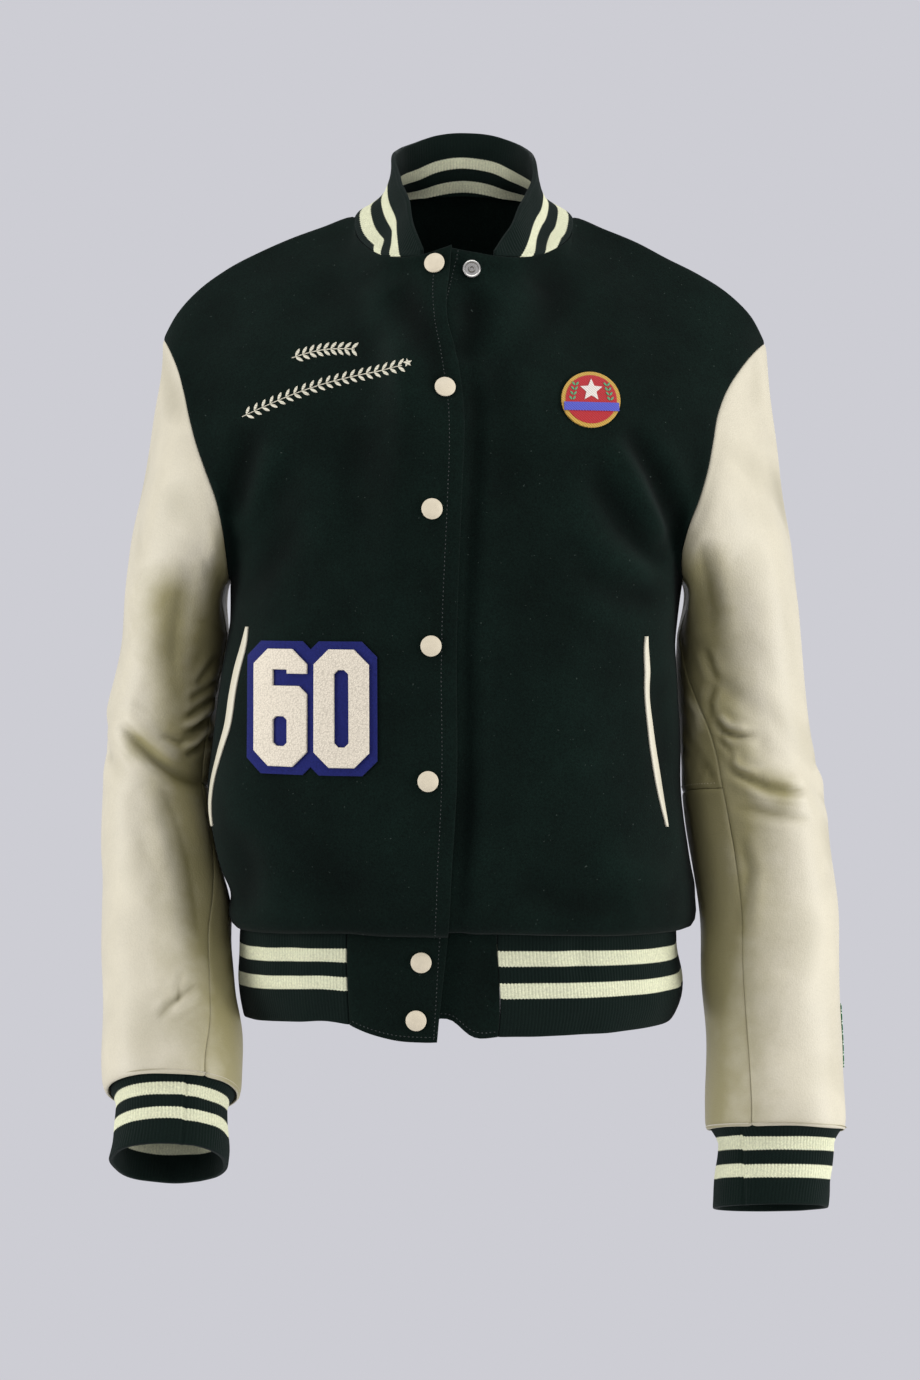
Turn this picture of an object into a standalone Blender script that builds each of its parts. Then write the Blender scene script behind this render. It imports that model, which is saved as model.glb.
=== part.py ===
"""A varsity bomber jacket, worn and hollow, at real size.

Metres, +Z up, the wearer facing -Y. The origin is at the height of the shoulder beside the neck,
halfway through the body, where the wearer's shoulders carry the jacket. Right and left are the
wearer's, so the right side is at -X. Every cloth piece is a wall between two layers of points
that start from one base surface, and neighbouring pieces share the base points of their seam.
"""

import math

import bmesh
import bpy
import numpy as np
from mathutils import Vector
from mathutils.bvhtree import BVHTree

# Driving sizes of the cloth
SEAM_GAP = 0.0003
UNDERARM_EXTRA_GAP = 0.0008
COLLAR_EXTRA_GAP = 0.0003
WOOL_THICK = 0.0024
LEATHER_THICK = 0.0015
RIB_THICK = 0.0036
WOOL_LIFT = 0.0006
LEATHER_LIFT = -0.0004
RIB_LIFT = 0.0002
LAP_LIFT = 0.0040
LAP_TUCK = 0.0023
LAP_HOLD = 0.010
LAP_EASE = 0.032
LAP_MARGIN = 0.0005
TUCK_REACH = 0.014

# Counts of grid cells
FRONT_COLUMNS = 12
TAB_COLUMNS = 4
NECK_COLUMNS = 5
ARMHOLE_ROWS = 12
BODY_ROWS = 14
HEM_ROWS = 4
COLLAR_ROWS = 4
CAP_ROWS = 7
SLEEVE_ROWS = 15
TOP_SLEEVE_COLUMNS = 22
UNDER_SLEEVE_COLUMNS = 6
ARMHOLE_SPLIT = 3
CUFF_ROWS = 4
UPPER_PASSES = 16
ARMPIT_PASSES = 5

# Where the seams of the undersleeve leave the armhole, as a share of the way round the sleeve
ARMHOLE_FRONT_SEAM = 11 / 24
ARMHOLE_BACK_SEAM = 13 / 24


def table(names, rows):
    """Named columns of a short table of numbers."""
    return dict(zip(names.split(), np.array(rows, float).T))


# The closed rings of the body from the armholes down to the seam with the hem band. The side
# and front heights differ because the hem dips; right and left are the widest X of each side.
BODY = table(
    "station side_z front_z right left front back square",
    [
        (0.0, -0.286, -0.286, -0.1790, 0.1735, -0.1490, 0.1300, 2.30),
        (1.0, -0.331, -0.331, -0.1795, 0.1680, -0.1495, 0.1285, 2.35),
        (2.0, -0.370, -0.370, -0.1855, 0.1675, -0.1475, 0.1270, 2.40),
        (3.0, -0.409, -0.409, -0.1905, 0.1695, -0.1460, 0.1275, 2.45),
        (4.0, -0.456, -0.456, -0.1950, 0.1705, -0.1465, 0.1300, 2.45),
        (5.0, -0.500, -0.498, -0.1865, 0.1765, -0.1485, 0.1350, 2.45),
        (6.0, -0.533, -0.528, -0.1775, 0.1803, -0.1500, 0.1395, 2.45),
        (6.6, -0.551, -0.543, -0.1750, 0.1775, -0.1490, 0.1390, 2.45),
        (7.0, -0.5595, -0.5510, -0.1732, 0.1730, -0.1445, 0.1350, 2.45),
        (7.4, -0.5585, -0.5500, -0.1702, 0.1675, -0.1392, 0.1290, 2.45),
    ],
)

# The hem band's rings, from its seam down to its folded lower edge
HEM = table(
    "station side_z right_front_z left_front_z right left front back square",
    [
        (0.0, -0.5585, -0.5500, -0.5500, -0.1702, 0.1675, -0.1392, 0.1290, 2.45),
        (1.0, -0.5750, -0.5650, -0.5670, -0.1712, 0.1685, -0.1385, 0.1270, 2.45),
        (2.5, -0.6030, -0.5910, -0.5990, -0.1715, 0.1725, -0.1370, 0.1265, 2.45),
        (3.5, -0.6215, -0.6085, -0.6200, -0.1680, 0.1670, -0.1350, 0.1250, 2.45),
    ],
)

# The right hem tab reaches lower than the band beside it, most at its turned edge.
TAB_DROP = table("x drop", [(-0.083, 0.002), (-0.060, 0.0100), (-0.045, 0.0135), (-0.010, 0.0145)])

# Front edges of the two fronts by height, and the depth of the body behind them. The right
# front's edge shows; the left front's lies under it.
CLOSURE = table(
    "z right_edge left_edge y",
    [
        (-0.630, -0.0190, -0.0470, -0.135),
        (-0.597, -0.0152, -0.0455, -0.137),
        (-0.548, -0.0082, -0.0430, -0.140),
        (-0.500, -0.0060, -0.0400, -0.1485),
        (-0.440, -0.0024, -0.0385, -0.1465),
        (-0.330, -0.0022, -0.0370, -0.1495),
        (-0.286, -0.0010, -0.0360, -0.1490),
        (-0.225, 0.0012, -0.0340, -0.1480),
        (-0.158, 0.0022, -0.0280, -0.1400),
        (-0.122, -0.0030, -0.0230, -0.1280),
        (-0.092, -0.0092, -0.0180, -0.1150),
        (-0.066, -0.0074, -0.0115, -0.1025),
        (-0.038, -0.0058, -0.0070, -0.0930),
    ],
)

# The neck seam, from the right front's corner round the back to the left front's corner
NECKLINE = {
    "right_corner": [(-0.0058, -0.0930, -0.0380), (-0.0290, -0.0915, -0.0450)],
    "right": [
        (-0.0290, -0.0915, -0.0450),
        (-0.0540, -0.0740, -0.0430),
        (-0.0730, -0.0350, -0.0290),
        (-0.0812, -0.0130, -0.0165),
        (-0.0825, 0.0080, -0.0015),
    ],
    "back_right": [
        (-0.0825, 0.0080, -0.0015),
        (-0.0690, 0.0370, 0.0120),
        (-0.0450, 0.0570, 0.0195),
        (0.0030, 0.0630, 0.0225),
    ],
    "back_left": [
        (0.0030, 0.0630, 0.0225),
        (0.0500, 0.0560, 0.0185),
        (0.0715, 0.0350, 0.0105),
        (0.0880, 0.0030, -0.0028),
    ],
    "left": [
        (0.0880, 0.0030, -0.0028),
        (0.0862, -0.0200, -0.0190),
        (0.0764, -0.0420, -0.0310),
        (0.0500, -0.0770, -0.0440),
        (0.0262, -0.0915, -0.0450),
    ],
    "left_corner": [(0.0262, -0.0915, -0.0450), (-0.0070, -0.0920, -0.0380)],
}

# Free edge of the collar above those seam points, right front end to left front end
COLLAR_EDGE = table(
    "x y z",
    [
        (-0.0295, -0.0900, -0.0405),
        (-0.0355, -0.0810, -0.0230),
        (-0.0400, -0.0660, -0.0020),
        (-0.0480, -0.0380, 0.0220),
        (-0.0530, -0.0060, 0.0430),
        (-0.0420, 0.0350, 0.0580),
        (-0.0215, 0.0570, 0.0690),
        (0.0070, 0.0625, 0.0722),
        (0.0345, 0.0540, 0.0670),
        (0.0515, 0.0300, 0.0550),
        (0.0585, -0.0060, 0.0400),
        (0.0570, -0.0380, 0.0180),
        (0.0460, -0.0670, -0.0060),
        (0.0365, -0.0820, -0.0260),
        (0.0268, -0.0900, -0.0405),
    ],
)
COLLAR_HOLLOW = 0.0130
COLLAR_HOLLOW_BIAS = 0.64
COLLAR_HEIGHT = 0.060

# Shoulder seams, from the shoulder point in to the neck
SHOULDER = {
    "right": [
        (-0.2309, 0.0000, -0.0975),
        (-0.2240, 0.0040, -0.0816),
        (-0.2110, 0.0070, -0.0660),
        (-0.1950, 0.0080, -0.0505),
        (-0.1690, 0.0080, -0.0350),
        (-0.1330, 0.0080, -0.0185),
        (-0.0825, 0.0080, -0.0015),
    ],
    "left": [
        (0.2375, -0.0010, -0.1010),
        (0.2290, -0.0070, -0.0850),
        (0.2150, -0.0110, -0.0700),
        (0.1970, -0.0120, -0.0555),
        (0.1670, -0.0110, -0.0400),
        (0.1310, -0.0070, -0.0205),
        (0.0880, 0.0030, -0.0028),
    ],
}

# Armhole seams, from the underarm up to the shoulder point
ARMHOLE = {
    "right_front": [
        (-0.1790, 0.0000, -0.2860),
        (-0.1770, -0.0270, -0.2835),
        (-0.1755, -0.0520, -0.2740),
        (-0.1765, -0.0700, -0.2570),
        (-0.1793, -0.0770, -0.2378),
        (-0.1854, -0.0750, -0.2174),
        (-0.1934, -0.0700, -0.1976),
        (-0.2005, -0.0610, -0.1782),
        (-0.2069, -0.0510, -0.1563),
        (-0.2130, -0.0390, -0.1329),
        (-0.2195, -0.0270, -0.1162),
        (-0.2262, -0.0140, -0.1040),
        (-0.2309, 0.0000, -0.0975),
    ],
    "left_front": [
        (0.1735, 0.0000, -0.2860),
        (0.1705, -0.0280, -0.2830),
        (0.1672, -0.0530, -0.2740),
        (0.1678, -0.0690, -0.2580),
        (0.1745, -0.0770, -0.2370),
        (0.1822, -0.0765, -0.2168),
        (0.1882, -0.0700, -0.1946),
        (0.1929, -0.0610, -0.1714),
        (0.1980, -0.0510, -0.1510),
        (0.2100, -0.0390, -0.1300),
        (0.2275, -0.0180, -0.1090),
        (0.2375, -0.0010, -0.1010),
    ],
    "right_back": [
        (-0.1790, 0.0000, -0.2860),
        (-0.1780, 0.0260, -0.2840),
        (-0.1775, 0.0530, -0.2750),
        (-0.1820, 0.0760, -0.2520),
        (-0.1900, 0.0840, -0.2220),
        (-0.1985, 0.0800, -0.1880),
        (-0.2080, 0.0680, -0.1560),
        (-0.2180, 0.0480, -0.1220),
        (-0.2260, 0.0240, -0.1015),
        (-0.2309, 0.0000, -0.0975),
    ],
    "left_back": [
        (0.1735, 0.0000, -0.2860),
        (0.1720, 0.0260, -0.2840),
        (0.1730, 0.0530, -0.2750),
        (0.1790, 0.0760, -0.2520),
        (0.1890, 0.0840, -0.2220),
        (0.1990, 0.0800, -0.1880),
        (0.2100, 0.0680, -0.1560),
        (0.2220, 0.0470, -0.1230),
        (0.2325, 0.0220, -0.1045),
        (0.2375, -0.0010, -0.1010),
    ],
}

CENTRE_BACK = [
    (-0.0030, 0.1300, -0.2860),
    (-0.0020, 0.1320, -0.2200),
    (0.0000, 0.1290, -0.1500),
    (0.0020, 0.1160, -0.0850),
    (0.0030, 0.0950, -0.0300),
    (0.0030, 0.0630, 0.0225),
]

# Rings of each sleeve below the armhole: z and y are the ring's centre, inner and outer its
# nearest and furthest X from the body, half_depth its half size front to back, lean the
# degrees that its front is tipped up. The seams are shares of the way round, from the outer
# side at 0 over the front at 0.25 to the inner side at 0.5.
SLEEVE = {
    "right": table(
        "station z y inner outer half_depth lean square front_seam back_seam",
        [
            (0.0, -0.331, 0.015, 0.1817, 0.2640, 0.079, 3, 2.40, 0.475, 0.56),
            (1.0, -0.366, 0.020, 0.1875, 0.2703, 0.076, 5, 2.45, 0.450, 0.58),
            (2.0, -0.398, 0.022, 0.1912, 0.2762, 0.073, 7, 2.45, 0.420, 0.60),
            (3.0, -0.428, 0.021, 0.1945, 0.2785, 0.070, 10, 2.45, 0.405, 0.61),
            (4.0, -0.456, 0.017, 0.1970, 0.2793, 0.067, 14, 2.40, 0.425, 0.62),
            (5.0, -0.495, 0.009, 0.1896, 0.2800, 0.063, 18, 2.35, 0.430, 0.63),
            (6.0, -0.538, -0.006, 0.1788, 0.2785, 0.060, 22, 2.30, 0.385, 0.64),
            (7.0, -0.580, -0.030, 0.1755, 0.2752, 0.058, 25, 2.25, 0.365, 0.65),
            (8.0, -0.622, -0.055, 0.1665, 0.2717, 0.057, 26, 2.20, 0.355, 0.66),
            (9.0, -0.655, -0.075, 0.1650, 0.2690, 0.056, 25, 2.20, 0.341, 0.67),
            (9.5, -0.6695, -0.0805, 0.1660, 0.2670, 0.0545, 26, 2.20, 0.341, 0.67),
            (9.8, -0.6720, -0.0815, 0.1715, 0.2610, 0.0500, 27, 2.20, 0.341, 0.67),
            (10.0, -0.6690, -0.0800, 0.1765, 0.2560, 0.0450, 27, 2.20, 0.341, 0.67),
        ],
    ),
    "left": table(
        "station z y inner outer half_depth lean square front_seam back_seam",
        [
            (0.0, -0.331, 0.016, 0.1708, 0.2656, 0.079, 2, 2.40, 0.468, 0.56),
            (1.0, -0.366, 0.018, 0.1705, 0.2694, 0.076, 3, 2.45, 0.395, 0.60),
            (2.0, -0.396, 0.013, 0.1718, 0.2737, 0.073, 4, 2.45, 0.350, 0.63),
            (3.0, -0.427, 0.007, 0.1735, 0.2785, 0.070, 6, 2.45, 0.332, 0.65),
            (4.0, -0.458, 0.001, 0.1745, 0.2850, 0.067, 7, 2.40, 0.328, 0.66),
            (5.0, -0.495, -0.006, 0.1805, 0.2888, 0.064, 9, 2.35, 0.326, 0.66),
            (6.0, -0.545, -0.017, 0.1855, 0.2930, 0.061, 10, 2.30, 0.326, 0.66),
            (7.0, -0.595, -0.027, 0.1875, 0.2925, 0.059, 11, 2.25, 0.330, 0.66),
            (8.0, -0.645, -0.037, 0.1890, 0.2940, 0.058, 12, 2.20, 0.326, 0.66),
            (9.0, -0.688, -0.045, 0.1890, 0.2950, 0.057, 13, 2.20, 0.322, 0.66),
            (9.5, -0.7030, -0.0475, 0.1895, 0.2940, 0.0560, 14, 2.20, 0.322, 0.66),
            (9.8, -0.7060, -0.0480, 0.1950, 0.2895, 0.0510, 14, 2.20, 0.322, 0.66),
            (10.0, -0.7030, -0.0475, 0.1990, 0.2850, 0.0460, 14, 2.20, 0.322, 0.66),
        ],
    ),
}
BICEP_STATION = 0.0
ELBOW_STATION = 4.0
SLEEVE_END = 10.0

# How the sleeve leaves the armhole at its top, front, underarm and back: out, back and up
CAP_DIRECTION = np.array([(0.05, 0.0, -1.0), (0.40, -0.20, -0.90), (0.60, 0.0, -0.62), (0.40, 0.20, -0.90)])

CUFF = {
    "right": table(
        "station z y inner outer half_depth lean square",
        [
            (0.0, -0.6690, -0.0800, 0.1765, 0.2560, 0.0450, 27, 2.2),
            (1.0, -0.6845, -0.0900, 0.1745, 0.2570, 0.0450, 29, 2.2),
            (2.0, -0.7020, -0.1010, 0.1725, 0.2580, 0.0450, 31, 2.2),
            (3.0, -0.7180, -0.1110, 0.1725, 0.2600, 0.0445, 32, 2.2),
        ],
    ),
    "left": table(
        "station z y inner outer half_depth lean square",
        [
            (0.0, -0.7030, -0.0475, 0.1990, 0.2850, 0.0460, 14, 2.2),
            (1.0, -0.7220, -0.0530, 0.1975, 0.2850, 0.0460, 15, 2.2),
            (2.0, -0.7420, -0.0600, 0.1950, 0.2820, 0.0455, 16, 2.2),
            (3.0, -0.7620, -0.0660, 0.1930, 0.2790, 0.0445, 17, 2.2),
        ],
    ),
}

# Large folds of the fronts: each runs between two points of the front view and is pushed in
# (negative) or out, with a soft edge of the given half width.
BODY_FOLDS = table(
    "x0 z0 x1 z1 depth half_width",
    [
        (0.166, -0.262, 0.138, -0.170, -0.0035, 0.014),
        (0.160, -0.275, 0.118, -0.215, 0.0035, 0.014),
        (0.150, -0.278, 0.112, -0.235, -0.0030, 0.012),
        (0.150, -0.300, 0.128, -0.345, 0.0025, 0.014),
        (0.018, -0.120, 0.030, -0.215, -0.0025, 0.014),
        (-0.165, -0.270, -0.135, -0.215, -0.0030, 0.014),
        (0.060, -0.500, 0.120, -0.515, -0.0020, 0.014),
        (-0.150, -0.495, -0.090, -0.512, -0.0020, 0.014),
    ],
)

# Large folds of the sleeves, by share of the way round and height
SLEEVE_FOLDS = {
    "right": table(
        "around0 z0 around1 z1 depth half_width",
        [
            (0.02, -0.392, 0.30, -0.462, -0.0050, 0.013),
            (0.00, -0.375, 0.16, -0.400, 0.0035, 0.016),
            (0.22, -0.240, 0.26, -0.420, -0.0030, 0.016),
            (0.34, -0.350, 0.44, -0.400, -0.0030, 0.012),
            (0.98, -0.400, 0.78, -0.455, -0.0040, 0.014),
            (0.12, -0.520, 0.30, -0.560, -0.0020, 0.020),
        ],
    ),
    "left": table(
        "around0 z0 around1 z1 depth half_width",
        [
            (0.36, -0.372, 0.16, -0.440, -0.0040, 0.013),
            (0.34, -0.410, 0.12, -0.458, -0.0040, 0.012),
            (0.20, -0.230, 0.26, -0.350, -0.0025, 0.016),
            (0.98, -0.420, 0.76, -0.470, -0.0040, 0.014),
            (0.16, -0.560, 0.28, -0.620, -0.0020, 0.020),
        ],
    ),
}

# Snap caps by the front view: their centres on the right front and tab
CAP_RADIUS = 0.0076
CAP_HEIGHT = 0.0026
CAPS = table(
    "x z",
    [
        (-0.0186, -0.0520),
        (-0.0109, -0.1462),
        (-0.0202, -0.2344),
        (-0.0209, -0.3332),
        (-0.0231, -0.4312),
        (-0.0283, -0.5640),
        (-0.0320, -0.6068),
    ],
)
STUD = (0.0086, -0.0560)
STUD_RADIUS = 0.0068
SNAP_STEPS = 16

# Pocket welts: the line down each welt by height, as a compass angle round the body from the
# centre front, and the welt's width
WELT_THICK = 0.0014
WELT_ROWS = 12
WELT = {
    "right": table(
        "z angle width",
        [
            (-0.3200, -63.5, 0.0035),
            (-0.3300, -64.0, 0.0080),
            (-0.3700, -66.0, 0.0100),
            (-0.3950, -66.8, 0.0100),
            (-0.4180, -70.0, 0.0100),
            (-0.4400, -73.0, 0.0095),
            (-0.4590, -75.0, 0.0085),
            (-0.4720, -74.5, 0.0030),
        ],
    ),
    "left": table(
        "z angle width",
        [
            (-0.3270, 55.5, 0.0035),
            (-0.3370, 55.5, 0.0055),
            (-0.3750, 55.7, 0.0065),
            (-0.4040, 57.5, 0.0085),
            (-0.4400, 61.0, 0.0090),
            (-0.4700, 62.7, 0.0030),
        ],
    ),
}

# Number badge on the right front, chest badge on the left front, label on the left sleeve
BADGE_CELL = 0.0125
FELT_CENTRE = (-0.1085, -0.3790)
FELT_SIZE = (0.0980, 0.0980)
FELT_THICK = 0.0012
DIGIT_THICK = 0.0022
DIGIT_SIZE = (0.0405, 0.0860)
DIGIT_PITCH = 0.0455
DIGIT_STROKE = 0.0150
DIGIT_CORNER = 0.0110
FELT_BORDER = 0.0058
CHEST_CENTRE = (0.0960, -0.1530)
CHEST_SIZE = (0.0440, 0.0420)
CHEST_THICK = 0.0010
LABEL_CENTRE = (-0.0300, -0.6340)
LABEL_SIZE = (0.0340, 0.0480)
LABEL_THICK = 0.0008
BADGE_GAP = 0.0009
FELT_GAP = 0.0013

COLOURS = {
    "wool": ((0.010, 0.028, 0.020), 0.85, 0.0),
    "leather": ((0.72, 0.67, 0.53), 0.45, 0.0),
    "rib": ((0.012, 0.030, 0.022), 0.90, 0.0),
    "cap": ((0.73, 0.64, 0.50), 0.25, 0.0),
    "nickel": ((0.70, 0.70, 0.68), 0.25, 1.0),
    "welt": ((0.74, 0.69, 0.58), 0.50, 0.0),
    "felt": ((0.028, 0.034, 0.190), 0.90, 0.0),
    "chenille": ((0.78, 0.71, 0.58), 0.95, 0.0),
    "badge": ((0.55, 0.03, 0.03), 0.70, 0.0),
    "label": ((0.02, 0.16, 0.07), 0.80, 0.0),
}


# ---- curves and tables -------------------------------------------------------------------


def spline(keys, values, wanted):
    """A smooth curve through values at rising keys, read at the wanted keys."""
    keys = np.asarray(keys, float)
    values = np.asarray(values, float)
    wanted = np.atleast_1d(np.asarray(wanted, float))
    slopes = np.gradient(values, keys, axis=0)
    cell = np.clip(np.searchsorted(keys, wanted, side="right") - 1, 0, len(keys) - 2)
    step = keys[cell + 1] - keys[cell]
    share = (wanted - keys[cell]) / step
    if values.ndim == 2:
        step = step[:, None]
        share = share[:, None]
    start = (1 + 2 * share) * (1 - share) ** 2 * values[cell]
    leave = share * (1 - share) ** 2 * step * slopes[cell]
    end = share**2 * (3 - 2 * share) * values[cell + 1]
    arrive = share**2 * (share - 1) * step * slopes[cell + 1]
    return start + leave + end + arrive


def read(columns, name, key):
    """One column of a table at a value of its first column."""
    first = next(iter(columns.values()))
    return spline(first, columns[name], key)


def lengths(points):
    """Distance along a polyline at each of its points."""
    steps = np.linalg.norm(np.diff(points, axis=0), axis=1)
    return np.concatenate([[0.0], np.cumsum(steps)])


def spaced(points, shares):
    """Points at shares of the length along a polyline."""
    along = lengths(points)
    wanted = np.asarray(shares) * along[-1]
    return np.stack([np.interp(wanted, along, points[:, axis]) for axis in range(3)], axis=1)


def curve(points, count):
    """count + 1 points evenly along a smooth curve through a few points."""
    points = np.array(points, float)
    along = lengths(points)
    fine = spline(along, points, np.linspace(0, along[-1], 240))
    return spaced(fine, np.linspace(0, 1, count + 1))


def join(*pieces):
    """One row of points from pieces that share their end points."""
    return np.concatenate([pieces[0]] + [piece[1:] for piece in pieces[1:]])


def coons(bottom, top, start, end):
    """A grid between four boundary curves: rows go from bottom to top."""
    rows = len(start)
    columns = len(bottom)
    up = np.linspace(0, 1, rows)[:, None, None]
    across = np.linspace(0, 1, columns)[None, :, None]
    ruled_up = (1 - up) * bottom[None] + up * top[None]
    ruled_across = (1 - across) * start[:, None] + across * end[:, None]
    corners = (1 - up) * ((1 - across) * bottom[0] + across * bottom[-1])
    corners = corners + up * ((1 - across) * top[0] + across * top[-1])
    return ruled_up + ruled_across - corners


def relax(grid, rows, passes):
    """Evens out the inner points of some rows of a grid."""
    for _ in range(passes):
        middle = grid[1:-1, 1:-1]
        around = (grid[:-2, 1:-1] + grid[2:, 1:-1] + grid[1:-1, :-2] + grid[1:-1, 2:]) / 4
        chosen = [row - 1 for row in rows]
        middle[chosen] = middle[chosen] * 0.5 + around[chosen] * 0.5
    return grid


def relax_body(grid):
    """Evens out a body panel: its whole upper part, and once more where that meets the rings."""
    relax(grid, range(1, ARMHOLE_ROWS + 1), UPPER_PASSES)
    return relax(grid, range(ARMHOLE_ROWS - 4, ARMHOLE_ROWS + 3), ARMPIT_PASSES)


# ---- body --------------------------------------------------------------------------------


def section(ring, angles):
    """Points of a body ring at angles from the centre front, positive to the left side."""
    angles = np.radians(angles)
    power = 2 / ring["square"]
    across = np.sign(np.sin(angles)) * np.abs(np.sin(angles)) ** power
    ahead = np.sign(np.cos(angles)) * np.abs(np.cos(angles)) ** power
    centre = (ring["left"] + ring["right"]) / 2
    half = (ring["left"] - ring["right"]) / 2
    x = centre + half * across
    y = np.where(ahead > 0, -ring["front"], ring["back"]) * -ahead
    front_z = np.where(across < 0, ring["right_front_z"], ring["left_front_z"])
    z = ring["side_z"] + (front_z - ring["side_z"]) * np.clip(ahead, 0, 1) ** 2
    return np.stack([x, y, z], axis=1)


def ring_at(rings, station):
    """The sizes of one ring, read from a table of rings."""
    ring = {name: float(read(rings, name, station)[0]) for name in rings}
    if "front_z" in ring:
        ring["right_front_z"] = ring["left_front_z"] = ring["front_z"]
    return ring


def angle_of(ring, x):
    """Angle from the centre front of the point of a ring's front that lies at x."""
    share = (x - (ring["left"] + ring["right"]) / 2) / ((ring["left"] - ring["right"]) / 2)
    return math.degrees(math.asin(math.copysign(min(1.0, abs(share)) ** (ring["square"] / 2), share)))


def front_arc(ring, side, edge_x):
    """The front of a ring from an edge to its side seam, as a fine polyline."""
    seam = 90 if side == "left" else -90
    return section(ring, np.linspace(angle_of(ring, edge_x), seam, 120))


def edge_name(side):
    return "right_edge" if side == "right" else "left_edge"


TAB_SEAM_X = {"right": -0.0828, "left": 0.0272}


def front_shares(side, arc, aligned):
    """Shares along a front's row: even at the armhole, and with a column on the tab's seam below."""
    even = np.linspace(0, 1, FRONT_COLUMNS + 1)
    along = lengths(arc)
    order = np.argsort(arc[:, 0])
    tab = np.interp(TAB_SEAM_X[side], arc[order, 0], along[order]) / along[-1]
    rest = np.linspace(tab, 1, FRONT_COLUMNS - TAB_COLUMNS + 1)
    tabbed = np.concatenate([np.linspace(0, tab, TAB_COLUMNS + 1)[:-1], rest])
    return even * (1 - aligned) + tabbed * aligned


def ring_row(ring, side, aligned):
    edge_x = float(read(CLOSURE, edge_name(side), ring["left_front_z"])[0])
    arc = front_arc(ring, side, edge_x)
    return spaced(arc, front_shares(side, arc, aligned))


def front_grid(side):
    """Base points of a front, rows from the neck and shoulder down to the hem seam."""
    bottom = ring_row(ring_at(BODY, 0.0), side, 0.0)
    neck = curve(NECKLINE[side], NECK_COLUMNS - 1)
    shoulder = curve(SHOULDER[side], FRONT_COLUMNS - NECK_COLUMNS)
    if side == "right":
        top = join(curve(NECKLINE["right_corner"], 1), neck, shoulder[::-1])
    else:
        top = join(curve(NECKLINE["left_corner"], 1)[::-1], neck[::-1], shoulder[::-1])
    heights = np.linspace(bottom[0, 2], top[0, 2], 60)
    edge = np.stack([read(CLOSURE, edge_name(side), heights), read(CLOSURE, "y", heights), heights], axis=1)
    edge = spaced(edge, np.linspace(0, 1, ARMHOLE_ROWS + 1))
    edge[0] = bottom[0]
    edge[-1] = top[0]
    armhole = curve(ARMHOLE[side + "_front"], ARMHOLE_ROWS)
    armhole[0] = bottom[-1]
    armhole[-1] = top[-1]
    upper = coons(bottom, top, edge, armhole)
    stations = np.linspace(0, BODY["station"][-1], BODY_ROWS + 1)
    lower = [ring_row(ring_at(BODY, station), side, station / stations[-1]) for station in stations[1:]]
    return relax_body(np.concatenate([upper[::-1], np.stack(lower)]))


def back_grid():
    """Base points of the back, columns from the right side seam to the left one."""
    ring = ring_at(BODY, 0.0)
    halves = []
    for side in ("right", "left"):
        seam = 270 if side == "right" else 90
        bottom = spaced(section(ring, np.linspace(seam, 180, 120)), np.linspace(0, 1, FRONT_COLUMNS + 1))
        shoulder = curve(SHOULDER[side], FRONT_COLUMNS - NECK_COLUMNS)
        neck = curve(NECKLINE["back_" + side], NECK_COLUMNS)
        top = join(shoulder, neck if side == "right" else neck[::-1])
        armhole = curve(ARMHOLE[side + "_back"], ARMHOLE_ROWS)
        centre = curve(CENTRE_BACK, ARMHOLE_ROWS)
        centre[0] = bottom[-1]
        armhole[0] = bottom[0]
        armhole[-1] = top[0]
        halves.append(coons(bottom, top, armhole, centre))
    upper = np.concatenate([halves[0], halves[1][:, ::-1][:, 1:]], axis=1)
    lower = []
    stations = np.linspace(0, BODY["station"][-1], BODY_ROWS + 1)
    for station in stations[1:]:
        arc = section(ring_at(BODY, station), np.linspace(270, 90, 240))
        lower.append(spaced(arc, np.linspace(0, 1, 2 * FRONT_COLUMNS + 1)))
    return relax_body(np.concatenate([upper[::-1], np.stack(lower)]))


def hem_grids(front_right, front_left, back):
    """The two tabs and the band between them, whose top rows are the body's bottom rows."""
    start = join(front_right[-1], back[-1][: 1 + 2 * FRONT_COLUMNS], front_left[-1][::-1])
    seam = ring_at(HEM, 0.0)
    rows = []
    for station in np.linspace(0, HEM["station"][-1], HEM_ROWS + 1):
        ring = ring_at(HEM, station)
        fine = section(ring, np.linspace(-180, 180, 721))
        base = section(seam, np.linspace(-180, 180, 721))
        angle = np.array([np.argmin(np.sum((base - point) ** 2, axis=1)) for point in start])
        rows.append(fine[angle] + (start - base[angle]))
    grid = np.stack(rows)
    right_edges = read(CLOSURE, "right_edge", grid[:, 0, 2])
    left_edges = read(CLOSURE, "left_edge", grid[:, -1, 2])
    right_edges[0], left_edges[0] = grid[0, 0, 0], grid[0, -1, 0]
    down = np.linspace(0, 1, HEM_ROWS + 1)
    for column in range(TAB_COLUMNS + 1):
        share = 1 - column / TAB_COLUMNS
        grid[:, column, 0] += (right_edges - grid[:, 0, 0]) * share if column else right_edges - grid[:, 0, 0]
        mirror = -1 - column
        grid[:, mirror, 0] += (left_edges - grid[:, -1, 0]) * share if column else left_edges - grid[:, -1, 0]
        grid[:, column, 2] -= read(TAB_DROP, "drop", grid[-1, column, 0]) * down
    tab_right = grid[:, : TAB_COLUMNS + 1]
    tab_left = grid[:, -TAB_COLUMNS - 1 :]
    return tab_right, tab_left, grid[:, TAB_COLUMNS : len(start) - TAB_COLUMNS]


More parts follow.
